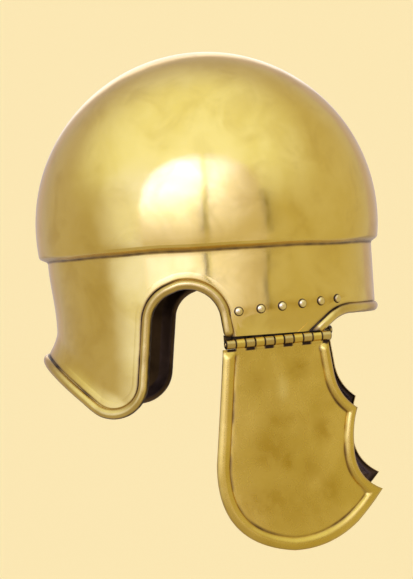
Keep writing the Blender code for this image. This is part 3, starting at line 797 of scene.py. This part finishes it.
def build_roll(name, path, end_taper):
    """Rolled edge with the strip of sheet that runs into it, cut level at both ends."""
    turns, heights = path
    place = under_wall(turns, heights, BEAD_INSET)
    tangent = unit(np.gradient(place, axis=0))
    outward = wall_normal(turns, heights)
    outward = unit(outward - tangent * (outward * tangent).sum(-1, keepdims=True))
    upward = np.cross(outward, tangent)
    length = np.concatenate([[0.0], np.cumsum(np.linalg.norm(np.diff(place, axis=0), axis=1))])
    lumps = np.zeros(len(length))
    rng = np.random.default_rng(20)
    for wavelength, amount in LUMPS:
        phase = rng.uniform(0, 2 * math.pi, 2)
        second = wavelength * SECOND_LUMP_LENGTH
        lumps += amount * np.sin(2 * math.pi * length / wavelength + phase[0])
        lumps += amount * SECOND_LUMP_SHARE * np.sin(2 * math.pi * length / second + phase[1])
    radius = BEAD_RADIUS * (BEAD_FILL - abs(lumps))
    near_end = np.minimum(length, length[-1] - length)
    if end_taper:
        full = np.sqrt(smooth(near_end, 0.0, end_taper))
        radius = radius * (BEAD_END_SHARE + (1 - BEAD_END_SHARE) * full)
    arc = np.linalg.norm(np.gradient(wall(turns, heights), axis=0), axis=1)
    turning = np.gradient(turns)
    climb = np.gradient(heights)
    along_arc = np.sqrt(np.maximum(arc ** 2 - climb ** 2, 1e-12)) * np.sign(turning)
    scale = turning / np.where(abs(along_arc) < 1e-9, 1e-9, along_arc)
    scale = np.where(abs(along_arc) < arc * 0.05, 1 / BAND_FRONT, scale)
    up_arc = -climb / arc
    up_z = along_arc / arc

    def on_wall(reach, lift):
        """Points that lie this far up the wall from the roll, and this far over its face."""
        turned = turns + up_arc * reach * scale
        raised = heights + up_z * reach
        return wall(turned, raised) + wall_normal(turned, raised) * lift

    uneven_dark = sum(share * np.sin(length / wavelength + phase) for wavelength, share, phase in DARK_WAVES)
    uneven_dark = DARK_LEAST + DARK_CHANGE * smooth(uneven_dark, *DARK_RANGE)
    depth_limit = backing_depth(place[:, 1], heights)
    crest = math.degrees(math.acos(BEAD_INSET / BEAD_RADIUS))
    angles = np.radians(np.linspace(crest + BEAD_PAST_CREST, BEAD_LAST_DEGREES, BEAD_SIDES))[1:]
    rings = []
    dark = []
    for angle in angles:
        lift = np.maximum(np.cos(angle) * radius, BEAD_INSET - depth_limit)
        rings.append(place + outward * lift[:, None] + upward * (math.sin(angle) * radius)[:, None])
        # Painted shade on the roll's underside, and darkening towards the crease
        away = abs(math.degrees(angle) - crest) / CREASE_DEGREES
        under = UNDERSIDE_DARK * smooth(-angle, *UNDERSIDE) * (1 - smooth(-angle, *ROLL_BACK))
        dark.append(np.maximum(under, max(0.0, 1 - max(0.0, away - 1)) * uneven_dark))
    # The turned-in half takes the dark inside metal, partly painted shade
    metals = [1 if angle < ROLL_TURNS_IN else 0 for angle in angles[1:]]
    mouth = BEAD_RADIUS * math.sin(math.radians(crest))
    inside = [(STRIP_REACH * 0.72, -SHEET - STRIP_SINK, 0.0),
              (STRIP_REACH, -SHEET + STRIP_INNER_SINK, 0.0)]
    outside = [(STRIP_REACH, -STRIP_SINK, 0.0), (STRIP_REACH * 0.92, STRIP_LIFT, 0.0)]
    outside += [(mouth + reach, lift, mark) for reach, lift, mark in STRIP_ROWS]
    for reach, lift, mark in inside + outside:
        rings.append(on_wall(reach, lift))
        dark.append(mark * uneven_dark)
    metals += [1] * len(inside) + [2] * len(outside) + [0]
    rings = np.stack(rings, 1)
    dark = np.stack(dark, 1)
    bead = slice(0, len(angles))
    # Painted shade on the roll near both its ends
    dark[:, bead] = np.maximum(dark[:, bead], 1 - smooth(near_end, *END_SHADE)[:, None])
    strip = slice(rings.shape[1] - len(outside), rings.shape[1])
    sunk = END_SUNK * np.array([reach / STRIP_REACH for reach, _, _ in outside]) ** 2
    for index in (0, -1):
        direction = tangent[index]
        ring = rings[index]
        ring = ring + direction * ((LUG_Z - ring[:, 2]) / direction[2])[:, None]
        ring[strip] -= outward[index] * sunk[:, None]
        rings[index] = ring
    verts, faces = swept(rings)
    faces = outward_faces(verts, faces)
    picks = metals * (len(turns) - 1) + [0, 0]
    piece(name, verts, faces, "helmet", "polished_brass", "shell",
          (EDGE_METAL, INSIDE_METAL, POLISHED), picks, crease=dark.reshape(-1))


# Rivets and hinges

def rivet_places(side):
    """Outer wall point and outward normal of each rivet, from the back."""
    places = []
    turn = turn_at(-RIVET_FIRST_REACH)
    for index in range(RIVETS):
        z = RIVET_Z + RIVET_RISE * index
        places.append((wall(side * turn, z), wall_normal(side * turn, z)))
        turn -= RIVET_PITCH / math.hypot(BAND_HALF_WIDTH * math.cos(turn), BAND_FRONT * math.sin(turn))
    return places


def round_body(profile, centre, axis, first, second, sides, closed=False):
    """Points, faces and darkness from (radius, height, darkness) rows, with two square spokes."""
    angles = 2 * np.pi * np.arange(sides) / sides
    spokes = np.cos(angles)[:, None] * first + np.sin(angles)[:, None] * second
    rings = np.array([centre + axis * height + spokes * radius for radius, height, _ in profile])
    verts, faces = swept(rings, closed)
    dark = np.repeat([mark for _, _, mark in profile], sides)
    return verts, outward_faces(verts, faces), dark


def turned(profile, centre, axis, sides):
    """Closed round body along any axis."""
    helper = np.array([0.0, 0.0, 1.0]) if abs(axis[2]) < 0.9 else np.array([1.0, 0.0, 0.0])
    first = unit(np.cross(axis, helper))
    return round_body(profile, centre, axis, first, np.cross(axis, first), sides)


def build_rivets(side, label):
    """Domed rivets with a ring of painted shade at the foot, and flat tails inside."""
    grip = LEAF_DEPTH + LEAF + GAP * 2
    profile = [(RIVET_TAIL_RADIUS * 0.5, -grip - RIVET_TAIL_HEIGHT, 0.0),
               (RIVET_TAIL_RADIUS * 0.92, -grip - RIVET_TAIL_HEIGHT * 0.85, 0.0),
               (RIVET_TAIL_RADIUS, -grip - RIVET_TAIL_HEIGHT * 0.5, 0.2),
               (RIVET_TAIL_RADIUS, -grip, 0.8), (RIVET_SHANK_RADIUS, -grip, 0.8),
               (RIVET_SHANK_RADIUS, 0.00002, 1.0), (RIVET_SHADE_RADIUS, 0.00002, 1.0),
               (RIVET_SHADE_RADIUS * 0.96, 0.00012, 1.0), (RIVET_HEAD_RADIUS, 0.00016, 1.0)]
    marks = RIVET_FOOT_DARK + (0.0,) * (RIVET_DOME_ROWS - len(RIVET_FOOT_DARK))
    for step, mark in enumerate(marks):
        angle = math.pi / 2 * (step + 1) / RIVET_DOME_ROWS
        height = GAP + RIVET_HEAD_HEIGHT * math.sin(angle)
        profile.append((max(RIVET_HEAD_RADIUS * math.cos(angle), 0.00008), height, mark))
    for index, (point, normal) in enumerate(rivet_places(side)):
        verts, faces, dark = turned(profile, point, normal, RIVET_SIDES)
        solid = "rivet_%s_%d" % (label, index + 1)
        piece("domed_" + solid, verts, faces, "helmet", "rivet_brass", solid, (RIVET_METAL,), crease=dark)


def knuckle(side, index, strap_down, strap_out, strap_dark):
    """One rolled barrel with the strap that joins it to its sheet, as points, faces and darkness; the
    darkness is painted shade at the barrel's ends and on the strap.
    """
    back, along, outward, down, length = HINGE[side]
    pitch = length / KNUCKLES
    start, end = index * pitch + GAP / 2, (index + 1) * pitch - GAP / 2
    edge = KNUCKLE_EDGE
    rows = ((BORE_RADIUS, start, 1.0), (KNUCKLE_RADIUS - edge, start, 0.9),
            (KNUCKLE_RADIUS, start + edge, 0.8), (KNUCKLE_RADIUS, start + edge * 3, 0.0),
            (KNUCKLE_RADIUS, end - edge * 3, 0.0), (KNUCKLE_RADIUS, end - edge, 0.8),
            (KNUCKLE_RADIUS - edge, end, 0.9), (BORE_RADIUS, end, 1.0))
    tube = round_body(rows, back, along, outward, down, KNUCKLE_SIDES, closed=True)
    near, far = strap_out
    high, low = strap_down
    corners = ((near, high), (far, high), (far, low), (near, low))
    rings = []
    strap_end = end - edge if index < KNUCKLES - 1 else (start + end) / 2
    for place in (start + edge, strap_end):
        rings.append([back + along * place + outward * out + down * drop for out, drop in corners])
    verts, faces = swept(np.array(rings))
    return joined([tube, (verts, outward_faces(verts, faces), [strap_dark] * len(verts))])


def build_leaf(side, label):
    """Hinge leaf inside the lug, with every other knuckle."""
    back, along, outward, down, length = HINGE[side]
    deep = LEAF_DEPTH + LEAF
    barrel_clear = math.sqrt((KNUCKLE_RADIUS + GAP) ** 2 - LEAF_DEPTH ** 2)
    grids = []
    for depth in (LEAF_DEPTH, deep):
        grid = []
        for row in range(LEAF_ROWS + 1):
            z = LUG_Z + GAP + (LEAF_HEIGHT - GAP) * max(0, row - 1) / (LEAF_ROWS - 1)
            share = min(1.0, (z - LUG_Z - GAP) / (RIVET_Z - LUG_Z - GAP))
            start = LUG_FRONT_REACH + LEAF_FRONT_OVERLAP
            front = -(start + (LEAF_FRONT_REACH - start) * share)
            back_y = -LUG_BACK_REACH - LEAF_BACK_INSET
            y = np.linspace(back_y, front, LEAF_COLUMNS + 1)
            axis_z = back[2] + along[2] * (y - back[1]) / along[1]
            z = np.full(y.shape, z) if row else axis_z + barrel_clear
            grid.append(under_wall(side * turn_for(y, z), z, depth))
        grids.append(np.array(grid))
    rings = np.concatenate([grids[0], grids[1][:, ::-1]], axis=1)
    verts, faces = swept(rings)
    half = LEAF_COLUMNS + 1
    ends = []
    for start in (0, LEAF_ROWS * half * 2):
        for index in range(half - 1):
            far = half * 2 - 1 - index
            quad = (start + index, start + index + 1, start + far - 1, start + far)
            ends.append(tuple(reversed(quad)) if start == 0 else quad)
    # Painted shade on the leaf's lower edge, where it shows in the gap above the barrel
    dark = np.where(verts[:, 2] < LUG_Z + LEAF, 1.0, 0.05)
    bodies = [(verts, outward_faces(verts, faces[:-2] + ends), dark)]
    for index in range(0, KNUCKLES, 2):
        top = (back + along * length * (index + 0.5) / KNUCKLES)[2] - LUG_Z - LEAF
        bodies.append(knuckle(side, index, (0.0, top), (-deep, -LEAF_DEPTH), LEAF_STRAP_DARK))
    verts, faces, dark = joined(bodies)
    piece("hinge_leaf_and_knuckles_" + label, verts, faces, "helmet", "hinge_brass",
          "hinge_leaf_" + label, (HINGE_METAL,), crease=dark)


def build_pin(side, label):
    """Hinge pin with rounded ends, darkened with painted shade along the length inside the barrels."""
    back, along, _, _, length = HINGE[side]
    end = PIN_RADIUS * 0.4
    profile = [(PIN_RADIUS * 0.3, -end, 0.0), (PIN_RADIUS * 0.8, -end * 0.7, 0.1), (PIN_RADIUS, 0.0, 0.5),
               (PIN_RADIUS, length, 0.5), (PIN_RADIUS * 0.8, length + end * 0.7, 0.1),
               (PIN_RADIUS * 0.3, length + end, 0.0)]
    verts, faces, dark = turned(profile, back, along, PIN_SIDES)
    piece("round_pin_" + label, verts, faces, "helmet", "hinge_brass",
          "hinge_pin_" + label, (HINGE_METAL,), crease=dark)


# Cheek pieces

def cheek_outline():
    """Outline in (along, drop) metres and the border's width share at each point."""
    shoulder = KNUCKLE_RADIUS + CHEEK_SHOULDER
    stops = [(np.array([x * CHEEK_WIDTH, shoulder + y * CHEEK_DROP]), bulge, width)
             for _, x, y, bulge, width in CHEEK_OUTLINE]
    points, widths = [stops[0][0]], [stops[0][2]]
    for (start, _, before), (end, bulge, width) in zip(stops, stops[1:]):
        chord = end - start
        side = np.array([-chord[1], chord[0]])
        count = max(1, round(np.linalg.norm(chord) / OUTLINE_STEP))
        for index in range(1, count + 1):
            share = index / count
            points.append(start + chord * share + side * 4 * share * (1 - share) * bulge)
            widths.append(before + (width - before) * float(smooth(share, 0.0, 0.35)))
    count = round(np.linalg.norm(stops[0][0] - stops[-1][0]) / OUTLINE_STEP)
    for index in range(1, count):
        points.append(stops[-1][0] + (stops[0][0] - stops[-1][0]) * index / count)
        widths.append(stops[-1][2])
    points = np.array(points)
    points[points[:, 1] < shoulder + GAP / 2, 1] = KNUCKLE_RADIUS + NOTCH_GAP
    return points, np.array(widths)


def distances(points, outline, widths, sides):
    """Distance from each point to the outline's nearest side, and the border width there."""
    start = outline[sides]
    run = outline[(sides + 1) % len(outline)] - start
    best = np.full(len(points), 1.0)
    width = np.ones(len(points))
    for first, step, share_width in zip(start, run, widths[sides]):
        share = np.clip(((points - first) @ step) / (step @ step), 0.0, 1.0)
        away = np.linalg.norm(points - first - share[:, None] * step, axis=1)
        nearer = away < best
        best = np.where(nearer, away, best)
        width = np.where(nearer, share_width, width)
    return best, width * BORDER_WIDTH


def build_cheek(side, label):
    """Cheek piece: bowed sheet with a raised half-round border and its rolled knuckles."""
    back, along, outward, down, length = HINGE[side]
    outline, widths = cheek_outline()
    count = len(outline)
    shoulder = KNUCKLE_RADIUS + CHEEK_SHOULDER
    after = np.roll(outline, -1, axis=0)
    border_sides = np.array([i for i in range(count) if max(outline[i][1], after[i][1]) > shoulder + GAP])
    every_side = np.arange(count)
    tangent = unit(after - np.roll(outline, 1, axis=0))
    inner_way = np.stack([tangent[:, 1], -tangent[:, 0]], -1)
    inside = [outline]
    for level in BORDER_LEVELS:
        reach = widths * BORDER_WIDTH * level
        moved = outline + inner_way * reach[:, None]
        away, _ = distances(moved, outline, widths, every_side)
        inside.append(moved[away > reach * 0.97])
    low, high = outline.min(0), outline.max(0)
    lattice = np.array([(x, y) for x in np.arange(low[0], high[0], LATTICE_STEP)
                        for y in np.arange(low[1], high[1], LATTICE_STEP)])
    away, width = distances(lattice, outline, widths, every_side)
    inside.append(lattice[away > width * 1.25])
    points = [Vector(point) for point in np.concatenate(inside)]
    loop = [(index, (index + 1) % count) for index in range(count)]
    result = delaunay_2d_cdt(points, loop, [], 1, MERGE_DISTANCE)
    flat = np.array([tuple(point) for point in result[0]])
    triangles = [tuple(face) for face in result[2]]
    away, width = distances(flat, outline, widths, border_sides)
    share = np.clip(away / width, 0.0, 1.0)
    fade = smooth(flat[:, 1], shoulder, shoulder + BORDER_WIDTH / 2)
    ridge = BORDER_RISE * np.sin(math.pi * share) ** BORDER_FULLNESS * fade
    groove = away - width * GROOVE_PLACE
    hollow = GROOVE_DEPTH * np.exp(-(groove / GROOVE_REACH) ** 2) * fade
    spread = (flat[:, 0] - CHEEK_WIDTH * 0.62) / (CHEEK_WIDTH * 0.8)
    drop = (flat[:, 1] - shoulder) / CHEEK_DROP
    lift = ridge - hollow - CHEEK_BOW * spread * spread * drop + CHEEK_SET * drop
    base = back + along * flat[:, :1] + down * flat[:, 1:2]
    front = base + outward * (lift + SHEET / 2)[:, None]
    rear = base + outward * (lift - SHEET / 2)[:, None]
    total = len(flat)
    # Darker in the groove, unevenly along it
    uneven_dark = GROOVE_DARK + sum(share * np.sin(flat[:, 1] / wavelength + phase)
                             for wavelength, share, phase in GROOVE_WAVES)
    crease = uneven_dark * np.exp(-(groove / CREASE_REACH) ** 2) * fade
    # Painted shade along the cheek's edge
    crease = crease + EDGE_DARK * np.exp(-(away / CREASE_REACH) ** 2) * fade
    place = flat[:, 0] / length * KNUCKLES
    # Painted shade in the notches under the helmet's knuckles
    notched = (np.floor(place) % 2 == 0) & (flat[:, 1] < KNUCKLE_RADIUS + NOTCH_DEPTH)
    crease = np.where(notched, 1.0, crease)
    stain = np.zeros(total)
    for forward, drop_place, reach, reach_down, depth in CHEEK_STAINS:
        away = ((flat[:, 0] - forward) / reach) ** 2 + ((flat[:, 1] - drop_place) / reach_down) ** 2
        stain += depth * np.exp(-away ** 1.5)
    stain = np.clip(stain, -1.0, 1.0)
    faces = triangles + [tuple(index + total for index in reversed(face)) for face in triangles]
    picks = [0] * len(triangles) + [1] * len(triangles)
    edges = {pair for face in triangles for pair in zip(face, face[1:] + face[:1])}
    for start, end in edges:
        if (end, start) not in edges:
            faces.append((end, start, start + total, end + total))
            picks.append(0)
    verts = np.concatenate([front, rear])
    bodies = [(verts, outward_faces(verts, faces), np.concatenate([crease, crease * 0.4]))]
    strap = ((BORE_RADIUS + KNUCKLE_RADIUS) / 2, shoulder + SHEET)
    for index in range(1, KNUCKLES, 2):
        bodies.append(knuckle(side, index, strap, (-SHEET / 2, SHEET / 2), CHEEK_STRAP_DARK))
    verts, faces, dark = joined(bodies)
    picks += [0] * (len(faces) - len(picks))
    stain = np.concatenate([stain, np.zeros(len(verts) - total)])
    piece("scalloped_cheek_" + label, verts, faces, label + "_cheek", "cheek_brass",
          "cheek_" + label, (CHEEK_METAL, INSIDE_METAL), picks, crease=dark, stain=stain)


build_sheet()
build_roll("rolled_brow_edge", BROW, 0.0)
build_roll("rolled_guard_edge", GUARD, BEAD_END_TAPER)
for side, label in SIDES:
    build_rivets(side, label)
    build_leaf(side, label)
    build_pin(side, label)
    build_cheek(side, label)


# Stage, light and camera

def flat_material(name, colour, strength=0.0):
    """Plain stage material, with its own light if wanted."""
    material = bpy.data.materials.new(name)
    material.use_nodes = True
    colour = (*colour, 1.0)
    feed(material.node_tree, material.node_tree.nodes["Principled BSDF"], {
        "Base Color": colour, "Roughness": 0.9, "Emission Color": colour, "Emission Strength": strength})
    return material


def stage_sheet(name, low, high, material):
    """Stage surface between a low and a high row of points."""
    count = len(low)
    faces = [(i, i + 1, count + i + 1, count + i) for i in range(count - 1)]
    mesh = bpy.data.meshes.new(name)
    mesh.from_pydata(low + high, [], faces)
    mesh.materials.append(material)
    mesh.shade_smooth()
    item = new_object(name, mesh)
    return item


# Cream paper wall far behind the helmet, so that a camera on that side still sees the helmet
WALL_X = 3.6
WALL_LOW = -3.0
WALL_HIGH = 5.0
WALL_HALF = 4.0
PAPER_GRAIN = 420.0
cream = flat_material("cream_paper", (0.946, 0.743, 0.304), 0.2)
tree = cream.node_tree
grain = noise(tree, node(tree, "ShaderNodeTexCoord").outputs["Object"], PAPER_GRAIN, 2.0, 0.7)
paper = blended(tree, between(tree, grain, 0.3, 0.7), (0.931, 0.723, 0.289), (0.961, 0.763, 0.319))
tree.links.new(paper, tree.nodes["Principled BSDF"].inputs["Base Color"])
backdrop = stage_sheet("backdrop", [(WALL_X, -WALL_HALF, WALL_LOW), (WALL_X, WALL_HALF, WALL_LOW)],
                       [(WALL_X, -WALL_HALF, WALL_HIGH), (WALL_X, WALL_HALF, WALL_HIGH)], cream)
backdrop.visible_glossy = False

# Room as polished metal sees it: plain, lighter ahead of the helmet, darker low down on its far
# side, with daylight high up, to the side of the window and in one far place
ROOM = (0.56, 0.525, 0.56)
ROOM_AHEAD = (0.665, 0.635, 0.56)
AHEAD = (-0.1, 0.8)
ROOM_BEHIND = (0.6, 0.51, 0.51)
BEHIND = (0.7, 0.77)
HIGH_LIGHT = (1.12, 1.28, 1.85)
HIGH_MIDDLE = Vector((-0.62, 0.1, 0.72)).normalized()
HIGH_SPREAD = (0.15, 0.95)
HIGH_RISE = (0.0, 0.5)
SIDE_LIGHT = (1.09, 1.25, 2.6)
SIDE_MIDDLE = Vector((-0.8, 0.58, 0.12)).normalized()
SIDE_SPREAD = (0.8, 1.0)
FAR_LIGHT = (1.35, 1.25, 1.2)
FAR_MIDDLE = Vector((0.93, 0.1, 0.36)).normalized()
FAR_SPREAD = (0.945, 0.985)
FAR_LOW = (0.42, 0.37, 0.35)
FAR_RISE = (-0.35, 0.05)

# A wide arched window of two panes between dark posts, far behind the camera
WINDOW_X = -2.0
WINDOW_LOW = -1.0
WINDOW_SPRING = 0.73
WINDOW_ARCH = 0.82
WINDOW_MIDDLE = -0.02
WINDOW_HALF = 1.5
WINDOW_STEPS = 24
POST_LOW = -0.36
POST_TOP = 0.55
PANES = (("window_pane_back", -0.02, 1.47), ("window_pane_front", -1.5, -0.13))
POSTS = (("window_post_middle", -0.13, -0.02), ("window_post_front", -1.62, -1.5))
GLASS_STRENGTH = 9.0
GLASS_BRIGHT = (0.28, 0.335, 1.0)
GLASS_DIM = tuple(value / GLASS_STRENGTH for value in ROOM)
BRIGHT_PLACE = (WINDOW_X, 0.78, 0.95)
BRIGHT_REACH = (2.15, 0.4)
GLASS_FADE = (-0.9, 0.6)


def window_top(y):
    """Height of the arched top of the window at a place along it."""
    share = min(1.0, abs(y - WINDOW_MIDDLE) / WINDOW_HALF)
    return WINDOW_SPRING + WINDOW_ARCH * math.sqrt(1 - share * share)


def glowing_glass():
    """Window glass, bright near one place and as dim as the room far from it and low down."""
    material = flat_material("window_glass", GLASS_BRIGHT, GLASS_STRENGTH)
    tree = material.node_tree
    place = node(tree, "ShaderNodeTexCoord").outputs["Object"]
    away = node(tree, "ShaderNodeVectorMath", {0: place, 1: BRIGHT_PLACE}, operation="DISTANCE")
    near = maths(tree, BRIGHT_REACH[0], away.outputs["Value"], "SUBTRACT")
    near = maths(tree, near, 1 / (BRIGHT_REACH[0] - BRIGHT_REACH[1]), clamp=True)
    height = node(tree, "ShaderNodeSeparateXYZ", {0: place}).outputs[2]
    share = maths(tree, near, between(tree, height, *GLASS_FADE))
    colour = blended(tree, share, GLASS_DIM, GLASS_BRIGHT)
    tree.links.new(colour, tree.nodes["Principled BSDF"].inputs["Emission Color"])
    return material


def window_part(name, start, end, low, limit, material):
    """Part of the window up to its arch or a limit, which only polished metal sees."""
    places = [start + (end - start) * index / WINDOW_STEPS for index in range(WINDOW_STEPS + 1)]
    part = stage_sheet(name, [(WINDOW_X, y, low) for y in places],
                       [(WINDOW_X, y, min(limit, window_top(y))) for y in places], material)
    part.visible_camera = False
    part.visible_diffuse = False
    part.visible_shadow = False


glass = glowing_glass()
for name, start, end in PANES:
    window_part(name, start, end, WINDOW_LOW, math.inf, glass)
post_paint = flat_material("window_post_paint", (0.1, 0.09, 0.07))
for name, start, end in POSTS:
    window_part(name, start, end, POST_LOW, POST_TOP, post_paint)

# Soft light from above, for the wall alone
FILL_PLACE = Vector((-0.9, -0.3, 2.3))
FILL_TARGET = Vector((0.0, 0.0, -0.1))
fill = bpy.data.lights.new("top_fill", "AREA")
fill.shape = "RECTANGLE"
fill.size = 2.6
fill.size_y = 2.8
fill.energy = 10
fill.color = (1.0, 0.95, 0.8)
top_fill = new_object("top_fill", fill)
top_fill.location = FILL_PLACE
top_fill.rotation_euler = (FILL_TARGET - FILL_PLACE).to_track_quat("-Z", "Y").to_euler()
top_fill.visible_glossy = False

world = bpy.data.worlds.new("studio")
world.use_nodes = True
background = world.node_tree.nodes["Background"]
sky = world.node_tree
direction = node(sky, "ShaderNodeTexCoord").outputs["Generated"]
parts = node(sky, "ShaderNodeSeparateXYZ", {0: direction})


def toward(middle, spread):
    """How near the direction is to a middle one, from 0 to 1."""
    level = node(sky, "ShaderNodeVectorMath", {0: direction, 1: middle}, operation="DOT_PRODUCT")
    return between(sky, level.outputs["Value"], *spread)


ahead = maths(sky, parts.outputs[1], -1.0)
room = blended(sky, between(sky, ahead, *AHEAD), ROOM, ROOM_AHEAD)
far = blended(sky, between(sky, parts.outputs[2], *FAR_RISE), FAR_LOW, ROOM_BEHIND)
far = blended(sky, toward(FAR_MIDDLE, FAR_SPREAD), far, FAR_LIGHT)
room = blended(sky, between(sky, parts.outputs[0], *BEHIND), room, far)
rise = between(sky, parts.outputs[2], *HIGH_RISE)
high = maths(sky, toward(HIGH_MIDDLE, HIGH_SPREAD), rise)
room = blended(sky, high, room, HIGH_LIGHT)
room = blended(sky, toward(SIDE_MIDDLE, SIDE_SPREAD), room, SIDE_LIGHT)
sky.links.new(room, background.inputs["Color"])
background.inputs["Strength"].default_value = 1.0
bpy.context.scene.world = world

# The camera looks at the wearer's right side from 4 degrees towards the front, a little rolled
AZIMUTH = math.radians(274)
ROLL = math.radians(3.66)
DISTANCE = 1.3
TARGET = Vector((0.0, 0.0028, -0.1621))
back = Vector((math.sin(AZIMUTH), -math.cos(AZIMUTH), 0.0))
level = Vector((0, 0, 1)).cross(back)
right = level * math.cos(ROLL) - Vector((0, 0, 1)) * math.sin(ROLL)
up = level * math.sin(ROLL) + Vector((0, 0, 1)) * math.cos(ROLL)
camera_data = bpy.data.cameras.new("photo_camera")
camera_data.sensor_width = 36.0
camera_data.lens = 116.94
bpy.context.scene.view_settings.view_transform = "Standard"
camera_data.clip_start = 0.05
camera = new_object("photo_camera", camera_data)
camera.matrix_world = Matrix((right, up, back)).transposed().to_4x4()
camera.location = TARGET + back * DISTANCE
bpy.context.scene.camera = camera
